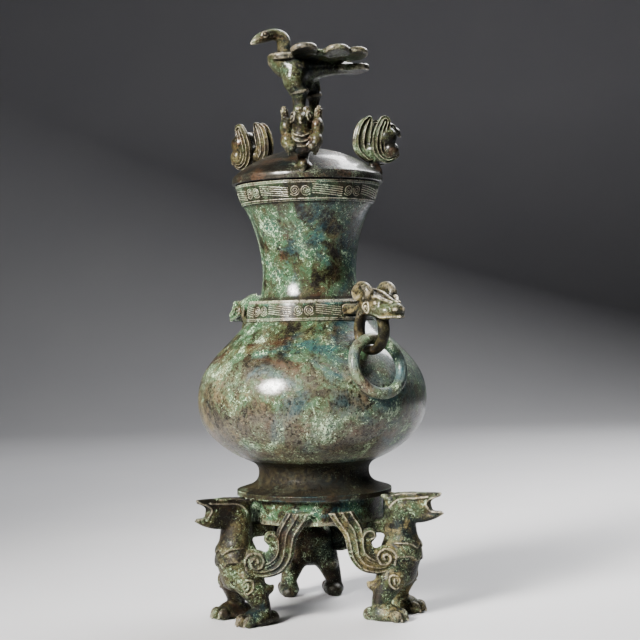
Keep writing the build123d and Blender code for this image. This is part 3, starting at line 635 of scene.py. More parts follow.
# The lid's patina is darker: partly its own dark brown, partly painted shade.
lid_patina = patina("lid_patina", green=0.15, earth=0.0, rubbed=0.02, gloss=0.6, bare=0.2, drift=0.3)
figure_patina = patina(
    "figure_patina", green=0.8, earth=0.2, rubbed=0.22, gloss=0.4, bare=-0.02, drift=0.7, patchy=0.5
)
ochre_patina = patina(
    "ochre_patina", green=0.65, earth=0.75, rubbed=0.5, gloss=0.4, bare=-0.04, drift=0.5, patchy=0.3
)
ring_patina = patina("ring_patina", green=1.2, earth=0.3, rubbed=0.15, gloss=0.25, drift=1.0)
stand_patina = patina("stand_patina", green=1.2, earth=0.3, rubbed=0.15, gloss=0.4, bare=-0.11, drift=1.0)
bird_patina = patina("bird_patina", green=0.25, earth=0.4, rubbed=0.6, gloss=0.4, bare=0.04, drift=1.4)
handle_patina = patina("handle_patina", green=0.05, earth=0.6, rubbed=0.9, gloss=0.3, bare=0.08, drift=2.1)
print("finishes:", [m.name for m in bpy.data.materials])


# %% [markdown]
# ## Turned walls
#
# The vessel, the lid and the ring under the foot are round about one axis. Spinning a curve would do,
# but a node tree keeps the rule in sight: a grid whose rows are the points of a half section and whose
# columns are turns about the axis. The half section is measured on the frame with rays, so the wall
# lies exactly where the CAD model has it. A little noise makes it uneven, as a casting is.


# %% A tree that turns a half section about the axis
def new_tree(name, inputs):
    """A geometry tree with named inputs: its graph, the input wires and their identifiers."""
    tree = bpy.data.node_groups.new(name, "GeometryNodeTree")
    tree.interface.new_socket("Geometry", in_out="INPUT", socket_type="NodeSocketGeometry")
    tree.interface.new_socket("Geometry", in_out="OUTPUT", socket_type="NodeSocketGeometry")
    ids = {}
    for label, kind in inputs.items():
        ids[label] = tree.interface.new_socket(label, in_out="INPUT", socket_type=kind).identifier
    graph = Graph(tree)
    source = tree.nodes.new("NodeGroupInput")
    wires = {socket.name: Wire(graph, socket) for socket in source.outputs if socket.name}
    return graph, wires, ids


def end_tree(graph, geometry, material):
    """Closes a tree with Realize Instances and Set Material."""
    real = graph.node("GeometryNodeRealizeInstances", None, {0: geometry})
    dressed = graph.node("GeometryNodeSetMaterial", None, {"Geometry": real, "Material": material})
    graph.node("NodeGroupOutput", None, {0: dressed})


def grow(graph, ids, data, values):
    """Runs a tree on a mesh and returns the result as a plain mesh."""
    host = bpy.data.objects.new(data.name, data)
    bpy.context.scene.collection.objects.link(host)
    modifier = host.modifiers.new("tree", "NODES")
    modifier.node_group = graph.tree
    for label, value in values.items():
        modifier[ids[label]] = value
    bpy.context.view_layer.update()
    shown = bpy.context.evaluated_depsgraph_get()
    result = bpy.data.meshes.new_from_object(host.evaluated_get(shown))
    host.modifiers.remove(modifier)
    bpy.data.objects.remove(host)
    return result


turn_inputs = {
    "Segments": "NodeSocketInt",
    "Unevenness": "NodeSocketFloat",
    "Lump Scale": "NodeSocketFloat",
    "Material": "NodeSocketMaterial",
}
turn, given, turn_ids = new_tree("turned_wall", turn_inputs)
rows = turn.node("GeometryNodeAttributeDomainSize", {"component": "MESH"}, {0: given["Geometry"]})
columns = given["Segments"] + 1
grid = turn.node(
    "GeometryNodeMeshGrid", None, {"Size X": 1.0, "Size Y": 1.0, "Vertices X": columns, "Vertices Y": rows}
)
index = turn.node("GeometryNodeInputIndex")
row = index.math("FLOORED_MODULO", index, rows)
column = index.math("FLOOR", index / rows + 0.0001, 0.0)
section = turn.node("GeometryNodeInputPosition")
point = turn.node(
    "GeometryNodeSampleIndex",
    {"data_type": "FLOAT_VECTOR", "domain": "POINT"},
    {"Geometry": given["Geometry"], "Value": section, "Index": row},
)
angle = column * math.tau / given["Segments"]
turned = turn.node("ShaderNodeVectorRotate", {"rotation_type": "Z_AXIS"}, {"Vector": point, "Angle": angle})
lump = turn.node("ShaderNodeTexNoise", None, {"Vector": turned, "Scale": given["Lump Scale"], "Detail": 3.0})
flat = turn.node("ShaderNodeVectorMath", {"operation": "MULTIPLY"}, {0: turned, 1: (1.0, 1.0, 0.0)})
away = turn.node("ShaderNodeVectorMath", {"operation": "NORMALIZE"}, {0: flat})
shift = (lump - 0.5) * 2 * given["Unevenness"]
push = turn.node("ShaderNodeVectorMath", {"operation": "SCALE"}, {0: away, "Scale": shift})
wall = turn.node("GeometryNodeSetPosition", None, {"Geometry": grid, "Position": turned, "Offset": push})
wall = turn.node("GeometryNodeMergeByDistance", None, {"Geometry": wall, "Distance": 0.00002})
end_tree(turn, wall, given["Material"])
print("tree:", turn.tree.name)


# %% [markdown]
# ## Half sections
#
# A half section is the outline that a potter's rib would have. Typing it in again would copy the CAD
# model's numbers, so rays are shot at the frame's own surface: from outside for the outer wall, from
# the axis for the bore, and from below for the hollow foot.


# %% Half sections measured on the frame
def skin(node):
    """The surface of a CAD node, ready for rays."""
    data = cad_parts[node].data
    return BVHTree.FromPolygons([v.co for v in data.vertices], [p.vertices for p in data.polygons])


def hit(tree, start, way):
    """The first point that a ray meets."""
    return tree.ray_cast(Vector(start), Vector(way))[0]


def outer_points(tree, heights):
    """Radius of the outer face at each height."""
    return [(hit(tree, (1.0, 1e-6, z), (-1, 0, 0)).x, z) for z in heights]


def inner_points(tree, heights):
    """Radius of the first wall met from the axis at each height."""
    return [(hit(tree, (1e-6, 1e-6, z), (1, 0, 0)).x, z) for z in heights]


def top_points(tree, radii):
    """Height of the upper face at each radius."""
    return [(r, hit(tree, (max(r, 1e-6), 1e-6, 1.0), (0, 0, -1)).z) for r in radii]


def under_points(tree, radii, start):
    """Height of the first face met from below at each radius."""
    return [(r, hit(tree, (max(r, 1e-6), 1e-6, start), (0, 0, 1)).z) for r in radii]


def levels(low, high, spacing, edges=()):
    """Heights from low to high, with close pairs on both sides of each sharp edge."""
    near = 0.05 * MM
    beside = 0.4 * MM
    values = list(np.linspace(low + near, high - near, max(2, int((high - low) / spacing))))
    values += [low + beside, high - beside]
    for edge in edges:
        values = [v for v in values if abs(v - edge) > 2 * beside]
        values += [edge - beside, edge - near, edge + near, edge + beside]
    return sorted(values)


def turned_piece(name, half_section, segments, unevenness, finish):
    """The mesh of a turned wall, closed and with its faces outwards."""
    data = bpy.data.meshes.new(name)
    data.from_pydata([(r, 0, z) for r, z in half_section], [], [])
    values = {"Segments": segments, "Unevenness": unevenness, "Lump Scale": 38.0, "Material": finish}
    wall = grow(turn, turn_ids, data, values)
    work = bmesh.new()
    work.from_mesh(wall)
    bmesh.ops.recalc_face_normals(work, faces=work.faces)
    work.to_mesh(wall)
    work.free()
    add_wear(wall, 6)
    return wall


print("half sections are measured with rays")


# %% [markdown]
# ## The vessel body
#
# One casting: flared foot, pear-shaped belly, a raised band on the shoulder, the neck and a raised
# band at the mouth. Subdivision would round the bands off, so the rows of the half section stand close
# together at their edges instead. The bands count as hollows, because they are dark. The foot counts as
# a hollow too: that paints the belly's shadow on it, along with its own dark patina.


# %% Vessel body
foot_rim_thickness = 3.5 * MM
band_height = 14.0 * MM
shoulder_band_top = 216.4 * MM
mouth_bore = 43.5 * MM
mouth_bore_depth = 12.0 * MM
cavity_floor = 102.0 * MM
low_corner, high_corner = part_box("vessel_body")
foot_z = low_corner[2]
mouth_z = high_corner[2]
vessel_skin = skin("vessel_body")

edges = [
    foot_z + foot_rim_thickness,
    shoulder_band_top - band_height,
    shoulder_band_top,
    mouth_z - band_height,
]
outside = outer_points(vessel_skin, levels(foot_z, mouth_z, 1.6 * MM, edges))
mouth_radius = outside[-1][0]
lip = [(r, mouth_z) for r in np.linspace(mouth_radius - 0.5 * MM, mouth_bore, 4)]
bore_foot = mouth_z - mouth_bore_depth
cavity = inner_points(vessel_skin, levels(cavity_floor + 1.2 * MM, mouth_z, 3.0 * MM, [bore_foot])[::-1])
floor_rows = [(r, cavity_floor) for r in np.linspace(0.8 * cavity[-1][0], 0, 6)]
hollow_radii = np.linspace(0, outside[0][0] - 10 * MM, 24)
hollow = under_points(vessel_skin, hollow_radii, 0.0)
foot_land = [(r, foot_z) for r in np.linspace(hollow_radii[-1] + 1 * MM, outside[0][0] - 0.4 * MM, 5)]
half_section = hollow + foot_land + outside + lip + cavity + floor_rows
vessel_wall = turned_piece(
    "vessel_body_cast", half_section, segments=300, unevenness=0.22 * MM, finish=vessel_patina
)
# Painted shadow: the foot is darkened mostly for the belly's shadow, partly for its dark patina.
foot_shadow_and_patina = -0.24
dirt_on_bands = -0.14
shift_wear(vessel_wall, foot_z, cavity_floor + 4 * MM, foot_shadow_and_patina)
for band_top in (shoulder_band_top, mouth_z):
    shift_wear(vessel_wall, band_top - band_height + 1 * MM, band_top - 1 * MM, dirt_on_bands)
piece("vessel_body_cast", vessel_wall, "vessel", ["vessel_body"], vessel_patina)

# %% [markdown]
# ## The lid and the ring under the foot
#
# The lid is a shallow dome with an upright rim and a spigot that sits in the mouth. The ring is a
# plain band between the beasts and the foot, with a lip inside the hollow foot. Both are turned like
# the vessel. Rays would fall into the holes for the birds, so the dome is drawn as part of a ball that
# touches the measured top.


# %% Lid and stand ring
def on_ball(radius, radii):
    """Points of a half section on a ball round the dome's centre."""
    return [(r, dome_centre + math.sqrt(radius**2 - r**2)) for r in radii]


lid_skin = skin("lid")
lid_low, lid_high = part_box("lid")
lid_rim_bottom = 297.7 * MM
lid_rim_top = 303.2 * MM
spigot_bottom = lid_low[2]
spigot_radius = 43.15 * MM
spigot_inner = spigot_radius - 3.0 * MM
rim_radius = lid_high[0]
rim_face = outer_points(lid_skin, levels(spigot_bottom, lid_rim_top, 1.5 * MM, [mouth_z, lid_rim_bottom]))
dome_radii = np.linspace(rim_radius - 1.2 * MM, 0, 44)
lid_apex = max(z for r, z in top_points(lid_skin, dome_radii) if r < 0.5 * rim_radius)
dome_ball = 79.0 * MM
dome_wall = 3.2 * MM
dome_centre = lid_apex - dome_ball
dome = on_ball(dome_ball, dome_radii)
ceiling = on_ball(dome_ball - dome_wall, np.linspace(0, spigot_inner, 20))
spigot = [(spigot_inner, z) for z in np.linspace(ceiling[-1][1] - 1 * MM, spigot_bottom, 8)]
lid_section = rim_face + dome + ceiling + spigot + rim_face[:1]
lid_wall = turned_piece("lid_cast", lid_section, segments=256, unevenness=0.15 * MM, finish=lid_patina)
piece("lid_cast", lid_wall, "lid", ["lid"], lid_patina)

ring_low, ring_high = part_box("stand_ring")
ring_skin = skin("stand_ring")
ring_outer = outer_points(ring_skin, levels(ring_low[2], ring_high[2], 1.5 * MM, [foot_z]))
ring_inner = inner_points(ring_skin, levels(ring_low[2], ring_high[2], 2.5 * MM)[::-1])
ring_section = ring_outer + ring_inner + ring_outer[:1]
ring_wall = turned_piece(
    "stand_ring_cast", ring_section, segments=220, unevenness=0.3 * MM, finish=stand_patina
)
piece("stand_ring_cast", ring_wall, "vessel", ["stand_ring"], stand_patina)

# %% [markdown]
# ## Scrolls on the two raised bands
#
# On the real vessel a pattern block was pressed into the mould again and again, so the same pair of
# spirals and the same bundle of long slanting lines repeat round each band. A node tree does the same: it
# draws one block flat, with x along the band and y up it, sets it out in a row, and then bends the row
# round the cone that the band lies on. A bump map would give no edges that catch the light, so every
# line becomes a thin raised wire.


# %% A tree for one ornament band
scroll_inputs = {
    "Blocks": "NodeSocketInt",
    "Lower Radius": "NodeSocketFloat",
    "Upper Radius": "NodeSocketFloat",
    "Bottom": "NodeSocketFloat",
    "Height": "NodeSocketFloat",
    "Spiral Radius": "NodeSocketFloat",
    "Wire": "NodeSocketFloat",
    "Start Angle": "NodeSocketFloat",
    "Material": "NodeSocketMaterial",
}
band, asked, band_ids = new_tree("scroll_band", scroll_inputs)


def vector(x=0.0, y=0.0, z=0.0):
    """A vector out of numbers or wires."""
    return band.node("ShaderNodeCombineXYZ", None, {"X": x, "Y": y, "Z": z})


def moved(geometry, place, scale=(1.0, 1.0, 1.0)):
    """The same geometry elsewhere, mirrored if the scale says so."""
    sockets = {"Geometry": geometry, "Translation": place, "Scale": scale}
    return band.node("GeometryNodeTransform", None, sockets)


def stroke(start, end, count):
    """A straight line with enough points to bend."""
    line = band.node("GeometryNodeCurvePrimitiveLine", None, {"Start": start, "End": end})
    return band.node("GeometryNodeResampleCurve", None, {"Curve": line, "Count": count})


mean_radius = (asked["Lower Radius"] + asked["Upper Radius"]) * 0.5
block_length = mean_radius * math.tau / asked["Blocks"]
middle = asked["Height"] * 0.5
margin = asked["Height"] * 0.11
coil = {
    "Resolution": 20,
    "Rotations": 2.4,
    "Start Radius": 0.0004,
    "End Radius": asked["Spiral Radius"],
    "Height": 0.0,
}
scroll = band.node("GeometryNodeCurveSpiral", None, coil)
beside = asked["Spiral Radius"] * 1.04
right_scroll = moved(scroll, vector(beside, middle), (-1.0, 1.0, 1.0))
left_scroll = moved(scroll, vector(0.0 - beside, middle))
first_x = asked["Spiral Radius"] * 2.3
slant = asked["Height"] * 0.16
lowest = asked["Height"] * 0.22
hatch = stroke(vector(first_x, lowest + slant), vector(block_length - first_x, lowest), 20)
hatch_gap = (asked["Height"] - 2 * lowest - slant) / 4
hatch_row = band.node("GeometryNodeMeshLine", None, {"Count": 5, "Offset": vector(0.0, hatch_gap)})
hatches = band.node("GeometryNodeInstanceOnPoints", None, {"Points": hatch_row, "Instance": hatch})
lower_border = stroke(vector(0.0, margin), vector(block_length, margin), 16)
upper_border = moved(lower_border, vector(0.0, asked["Height"] - 2 * margin))
one_block = band.join(right_scroll, left_scroll, hatches, lower_border, upper_border)
one_block = band.node("GeometryNodeGeometryToInstance", None, {0: one_block})
spacing = {"Count": asked["Blocks"], "Offset": vector(block_length)}
block_row = band.node("GeometryNodeMeshLine", None, spacing)
row_of_blocks = band.node("GeometryNodeInstanceOnPoints", None, {"Points": block_row, "Instance": one_block})
drawn = band.node("GeometryNodeRealizeInstances", None, {0: row_of_blocks})
flat_place = band.node("GeometryNodeInputPosition")
along = band.node("ShaderNodeSeparateXYZ", None, {0: flat_place}, "X")
upward = band.node("ShaderNodeSeparateXYZ", None, {0: flat_place}, "Y")
widening = (asked["Upper Radius"] - asked["Lower Radius"]) / asked["Height"]
spoke = vector(asked["Lower Radius"] + upward * widening, 0.0, asked["Bottom"] + upward)
bend = along / mean_radius + asked["Start Angle"]
bent = band.node("ShaderNodeVectorRotate", {"rotation_type": "Z_AXIS"}, {"Vector": spoke, "Angle": bend})
on_cone = band.node("GeometryNodeSetPosition", None, {"Geometry": drawn, "Position": bent})
wire_section = band.node("GeometryNodeCurvePrimitiveCircle", None, {"Resolution": 6, "Radius": asked["Wire"]})
sweep = {"Curve": on_cone, "Profile Curve": wire_section, "Fill Caps": True}
wires = band.node("GeometryNodeCurveToMesh", None, sweep)
end_tree(band, wires, asked["Material"])
print("tree:", band.tree.name)

# %% Scrolls on the shoulder band and the mouth band
scroll_radius = 3.6 * MM
scroll_wire = 0.4 * MM
scroll_blocks = 8
scroll_shine = 0.06
first_scroll = math.radians(-40.0)
sunk = 0.1 * MM
for name, bottom in (("shoulder", shoulder_band_top - band_height), ("mouth", mouth_z - band_height)):
    below = outer_points(vessel_skin, [bottom + 0.4 * MM])[0][0] - sunk
    above = outer_points(vessel_skin, [bottom + band_height - 0.4 * MM])[0][0] - sunk
    values = {
        "Blocks": scroll_blocks,
        "Lower Radius": below,
        "Upper Radius": above,
        "Bottom": bottom,
        "Height": band_height,
        "Spiral Radius": scroll_radius,
        "Wire": scroll_wire,
        "Start Angle": first_scroll,
        "Material": vessel_patina,
    }
    wires = grow(band, band_ids, bpy.data.meshes.new(f"{name}_scrolls"), values)
    add_wear(wires, 2)
    shift_wear(wires, bottom, bottom + band_height, scroll_shine)
    piece(f"{name}_scrolls", wires, "vessel", [], vessel_patina)


# %% [markdown]
# ## The winged beasts
#
# Each foot of the stand is a beast with an open beak, a thick neck with two feather collars, a haunch
# with a spiral, and clawed paws. Joined boxes and cones would look like a toy, so it is laid up in clay
# once, facing +X, and set in its three places. The flat soles are cut last, so that all three stand on
# the floor.


# %% Spirals and a beast's body
def spiral(centre, start, end, turns, phase, side=1.0):
    """Points of a spiral in the XZ plane."""
    steps = int(14 * turns)
    share = np.linspace(0, 1, steps)
    turn_angle = math.radians(phase) + side * share * turns * math.tau
    radius = start + (end - start) * share
    x = centre[0] + radius * np.cos(turn_angle)
    z = centre[2] + radius * np.sin(turn_angle)
    return np.column_stack([x, np.full(steps, centre[1]), z])


def beast_mesh():
    """A beast that faces +X, in millimetres."""
    clay = Clay((33, -31, -3), (99, 31, 90), 0.5)

    # Chest, belly and shoulders
    clay.add(ball((64.6, 0, 42), (13.4, 14, 15)))
    clay.add(ball((63, 0, 30), (11.6, 12.6, 10)), 4)
    clay.both(ball((59.5, 9, 40.5), (8.5, 8.5, 10)), 3)

    # Neck and head
    clay.add(limb([(64.6, 0, 47), (64.8, 0, 55), (64.4, 0, 64), (63.5, 0, 74)], [12.6, 11, 10.4, 9.8]), 4)
    clay.add(ball((64, 0, 76), (9.5, 8.4, 7.4)), 3)
    clay.add(ball((71, 0, 77), (9.5, 8, 6.8)), 3)
    clay.add(ball((78, 0, 75.4), (9, 5.6, 6)), 3)

    # Open beak with a raised lip
    clay.add(limb([(72, 0, 78.6), (80, 0, 80.2), (88, 0, 82), (94, 0, 84.2)], [6, 4.8, 3.2, 1.0]), 2)
    clay.add(limb([(70, 0, 71), (79, 0, 69.2), (88, 0, 69.6), (95.2, 0, 71.2)], [6.8, 5, 3, 1.0]), 2.5)
    clay.carve(ball((97, 0, 77.6), (12, 14, 5.5)), 1.0)
    lip = [(93, 1.4, 82.8), (88.6, 2.8, 81.6), (85.6, 4, 78.6),
           (85.4, 4.2, 76.4), (88, 3.2, 73), (94, 1.2, 71.8)]
    clay.threads(lip, 0.8, 0.2)

    # Eyes, brows and ears
    clay.both(ball((68.2, 7.4, 75.8), (3.0, 2.0, 2.4)), 0.6)
    clay.both(hoop((68.2, 7.7, 75.8), (0.1, 1, 0.1), 3.4, 0.85), 0.5)
    for brow in ([(86, 3.2, 82), (78, 5.2, 81), (71, 7.2, 80.8), (65.5, 8, 79), (61.5, 8.2, 75)],
                 [(78, 3.4, 83.6), (70, 4.4, 84), (64, 5.2, 82.6), (58.5, 5.8, 79)]):
        clay.threads(brow, 0.9, 0.1)
    clay.both(limb([(60, 5.2, 79.5), (56.5, 5.8, 81.4), (53.6, 6.2, 82.2)], [3, 2.1, 0.9]), 1.5)

    # Two feather collars on the breast
    def collar(level, drop, lift):
        def amount(x, y, z):
            above = z - (level - drop * np.exp(-(((np.abs(y) - 4.5) / 3.6) ** 2)))
            front = np.clip((x - 62) / 8, 0, 1)
            return lift * front * np.exp(-np.maximum(above, 0) / 4.5) / (1 + np.exp(-above * 5))
        return amount

    chest = Form((60, -16, 28), (84, 16, 66), None)
    clay.swell(chest, collar(51.0, 3.6, 1.5))
    clay.swell(chest, collar(42.2, 3.6, 1.5))

    # Haunches, legs, paws and toes
    clay.both(ball((61, 10.5, 29), (10.4, 8.4, 10.8)), 2.5)
    clay.both(limb([(60.5, 12, 25), (57, 15, 16.5), (55.6, 16.5, 11), (56.4, 16.5, 5)], [9, 7, 6, 6.6]), 2.5)
    clay.both(ball((58.5, 16.5, 3.8), (13.5, 7.6, 5.2)), 2)
    clay.both(ball((62, 16.5, 6.6), (7.5, 6, 4.6), -12), 2)
    clay.both(ball((48.5, 16.5, 3.6), (5.6, 5.8, 5)), 2)
    for toe, reach in ((-5.0, 68.6), (0.0, 70.6), (5.0, 68.6)):
        clay.both(ball((reach, 16.5 + toe, 3.8), (4.4, 2.8, 4.0)), 0.8)
        claw = [(reach + 3, 16.5 + toe, 3.6), (reach + 4.8, 16.5 + toe * 1.05, 1.2)]
        clay.both(limb(claw, [1.5, 0.7]), 0.5)
    clay.both(limb([(52, 15.5, 22.5), (48.8, 16, 22.8), (46.8, 16.2, 24.4)], [4.2, 2.8, 1.3]), 2)

    # A spiral on the thigh and tufts of hair
    clay.threads(spiral((66.5, 16, 26.8), 0.8, 4.8, 1.7, 40), 0.85, 0.2, 2)
    for tuft in range(5):
        z = 38.5 - 2.4 * tuft
        hair = [(69.5 - tuft, 12.4, z), (73, 11, z - 2), (74.6 - 0.4 * tuft, 8.6, z - 5)]
        clay.lines(hair, 0.6)

    # Bracket under the stand ring with its lug, and flat soles
    clay.add(block((50, 0, 61.2), (13.1, 6, 4.7), 2.6), 3.0)
    clay.add(block((38.8, 0, 63), (1.9, 3.3, 7), 0.6), 0.6)
    clay.carve(Form((30, -40, -10), (100, 40, 0), lambda x, y, z: z + 0 * x + 0 * y), 0.3)
    data = clay.mesh("beast")
    add_wear(data, 8)
    return data


beast = beast_mesh()
print("beast", len(beast.polygons), "faces")

# %% [markdown]
# ## The beasts' wings
#
# A wing is a flat strap with three raised lines. It starts as a spiral on the shoulder, dips under and rises
# to a flared tip that lies against the ring. A narrower band with a hook runs along its inner edge.
# A bent plane would have no swelling edges, so both are ribbons that follow a drawn curve in the clay,
# and the tip is cut off straight.


# %% Wings
wing_angle = math.radians(51.0)
wing_from_axis = 50.6 * MM


def wing_mesh():
    """One wing, drawn with +X towards the beast, +Y away from the ring and +Z up."""
    clay = Clay((-8, -5, 24), (50, 6, 79), 0.45)
    level = (1, 0, 0)
    up = (0, 0, 1)

    # The strap, and the web on its inner edge
    strap = [(3.6, 81), (8.2, 71), (14.2, 61.5), (16, 53), (17.2, 45.6),
             (21, 39.4), (27.5, 36.4), (34, 36), (40, 38.4)]
    strap_widths = [19, 15.4, 14.4, 13.6, 12.2, 10.4, 9, 8, 7]
    clay.add(ribbon((0, 0, 0), level, up, strap, strap_widths, 5.8, ridges=3, relief=1.0))
    web = [(22, 58), (23, 52), (24.5, 47), (30, 44)]
    clay.add(ribbon((0, -0.3, 0), level, up, web, [7, 8, 9, 8], 3.2), 0.8)

    # The spiral on the shoulder and the hooked band
    clay.add(ball((37, 0, 42.4), (11, 3.2, 8.4)), 1.2)
    clay.thread(spiral((35.4, 4, 42.4), 1.0, 7.8, 1.7, 215, -1), 0.95, 0.3, 2)
    hook = [(26.2, 55.6), (28.4, 57.4), (26.8, 60.6), (22.8, 60.4), (20.4, 56.6),
            (20.2, 51), (22, 45.8), (26, 42.2), (30, 40.4)]
    hook_widths = [2.4, 3.4, 4, 4, 3.8, 3.6, 3.2, 2.8, 2.2]
    clay.add(ribbon((0, 0.7, 0), level, up, hook, hook_widths, 5.4, ridges=1, relief=0.8), 0.6)
    clay.add(ball((25, 0, 57), (4.4, 2.4, 4.2)), 0.8)
    clay.carve(Form((-20, -10, 72), (40, 10, 92), lambda x, y, z: 73.9 + 0.05 * x - z + 0 * y), 0.6)
    data = clay.mesh("wing")
    add_wear(data, 8)
    return data


def wing_place(side):
    """From the wing's own drawing to its place beside a beast that faces +X."""
    c, s = math.cos(wing_angle), math.sin(wing_angle)
    place = Matrix((
        (s, c, 0, wing_from_axis * c),
        (-c, s, 0, wing_from_axis * s),
        (0, 0, 1, 0),
        (0, 0, 0, 1),
    ))
    return Matrix.Scale(side, 4, (0, 1, 0)) @ place


wing = wing_mesh()
beast_angles = (-90.0, 30.0, 150.0)
beast_finishes = (figure_patina, ochre_patina, figure_patina)
for number, (angle_z, finish) in enumerate(zip(beast_angles, beast_finishes), start=1):
    face = Matrix.Rotation(math.radians(angle_z), 4, "Z")
    piece(f"beast_{number}_cast", copy_of(beast, face), "vessel", [f"beast_{number}"], finish)
    for side, hand in ((1, "left"), (-1, "right")):
        node = f"beast_{number}_wing_{hand}"
        piece(f"{node}_cast", copy_of(wing, face @ wing_place(side)), "vessel", [node], finish)

# %% [markdown]
# ## The handles
#
# Each handle is a beast's head that bites a round loop, and the loose ring hangs in the loop. Bevelled
# boxes would look machined, so the head is laid up in clay as the beasts are. The first head has curled
# horns. The second one is worn: it has lost them and shows the ruff behind, so one switch makes both.


# %% Handles
head_bottom = 203 * MM
# The loop below the head is made darker, as a hollow.
loop_darkening = -0.14


def handle_mesh(worn):
    """A handle along +X; a worn one has lost its horns and shows the ruff behind its head."""
    clay = Clay((40, -18, 172), (108, 18, 234), 0.5)

    # The round loop and the stem on the band
    clay.add(hoop((71.5, 0, 195.6), (0, 1, 0), 13.6, 3.2, 4.2))
    clay.add(block((58, 0, 209.4), (16, 3.6, 3.6), 2.4), 2)

    # Head, muzzle and mouth
    clay.add(ball((78, 0, 212.5), (16.5, 10.5, 8.2), -14), 2)
    clay.add(ball((92, 0, 207.5), (9.5, 9.6, 6.6), -14), 3)
    clay.add(ball((99, 0, 209.2), (3.8, 5, 3.4)), 1.5)
    clay.both(ball((101, 3, 208.4), (1.9, 1.8, 1.6)), 1.2)
    clay.carve(block((97, 0, 200.4), (9, 7.4, 2.4), 1.0, -14), 0.8)
    lip = [(80, 9.6, 207), (88, 10, 204.2), (96, 9.4, 201.8), (101.5, 6, 202), (102.8, 0, 203)]
    clay.threads(lip, 1.2, 0.2)

    # Eyes and brows
    clay.both(ball((88, 8.2, 212.2), (3, 2.4, 2.6)), 0.5)
    clay.both(hoop((88, 8.8, 212.2), (0.3, 1, 0.3), 3.4, 0.9), 0.5)
    brow = [(97.5, 3.4, 213), (92, 6.2, 216.2), (86, 8.4, 217.4), (79, 9.6, 216.4)]
    clay.threads(brow, 1.5, 0.3)
    clay.thread([(99, 0, 213), (91, 0, 217), (82, 0, 219.4), (72, 0, 219.4)], 1.3, 0.2)

    # Horns and cheeks, or the ruff that shows without them
    if worn:
        clay.add(ball((74, 0, 208.5), (4.2, 11.6, 12.2), -8), 1.2)
        clay.add(hoop((72.6, 0, 208.5), (1, 0, 0.1), 10.4, 1.5), 0.8)
    else:
        horn = [(79, 8.4, 215.5), (82.4, 9.4, 219.4), (79, 9.8, 223.2), (73, 10, 223.8),
                (68.8, 10, 220.2), (70.6, 10, 217), (74.4, 10, 218), (75, 10, 220.2)]
        clay.both(limb(horn, [3.2, 3.2, 3.2, 3.2, 3.0, 2.6, 2.2, 1.7]), 1.6)
        clay.both(ball((75, 9.6, 220.2), (5.4, 2.2, 3.6)), 1.0)
        clay.both(ball((83, 6.6, 209.6), (8.4, 5, 5.6), -14), 1.6)

    # Spirals on the cheeks and strands of hair behind them
    clay.threads(spiral((82, 10.4, 209.5), 0.6, 4.2, 1.5, 0), 0.8, 0.2, 2)
    for hair in range(4):
        start = (72 - 2.4 * hair, 9.8, 215 - 0.8 * hair)
        clay.lines([start, (69 - 2 * hair, 10, 209), (70 - 2 * hair, 8.4, 204.5)], 0.6)
    data = clay.mesh("handle")
    add_wear(data, 8)
    shift_wear(data, 0.0, head_bottom, loop_darkening)
    return data


handle_angles = (0.0, 180.0)
handle_finishes = (handle_patina, ring_patina)
for number, (angle_z, finish) in enumerate(zip(handle_angles, handle_finishes), start=1):
    face = Matrix.Rotation(math.radians(angle_z), 4, "Z")
    handle = handle_mesh(worn=number == 2)
    piece(f"handle_{number}_cast", copy_of(handle, face), "vessel", [f"handle_{number}"], finish)

# %% [markdown]
# ## The loose rings
#
# A ring is a bent rod. A plain torus would be too even, so it is turned from a round section like the
# vessel's wall and then leaned as the frame has it: its middle is the middle of the node's box, and its
# lean follows from that box.


# %% Carrying rings
ring_radius = 18.9 * MM
ring_wire = 3.8 * MM
rod = [(ring_radius + ring_wire * math.cos(a), ring_wire * math.sin(a)) for a in np.linspace(0, math.tau, 29)]
for number, angle_z in enumerate(handle_angles, start=1):
    node = f"carry_ring_{number}"
    near, far = (Vector(corner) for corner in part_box(node))
    middle = (near + far) / 2
    lean = math.asin((far.x - near.x - 2 * ring_wire) / (2 * ring_radius))
    tilt = Matrix.Rotation(math.pi / 2 - lean, 4, "Y")
    place = Matrix.Translation(middle) @ Matrix.Rotation(math.radians(angle_z), 4, "Z") @ tilt
    ring = turned_piece(f"{node}_cast", rod, segments=128, unevenness=0.25 * MM, finish=ring_patina)
    piece(f"{node}_cast", copy_of(ring, place), f"ring_{number}", [node], ring_patina)

# %% [markdown]
# ## The birds on the lid
#
# Three small birds stand on the rim of the dome and face outwards. Each has ringed eyes, a hooked beak
# and a round breast, and two wings that rise straight up with feathers drawn as long parallel ridges.
# A bump map would leave the outline of the feathers smooth, so each wing is a ribbon with real ridges.


# %% Lid birds
lid_turn = -14.0
lid_bird_angles = (-23.0, 84.0, 208.0)
lid_bird_radius = 48.0


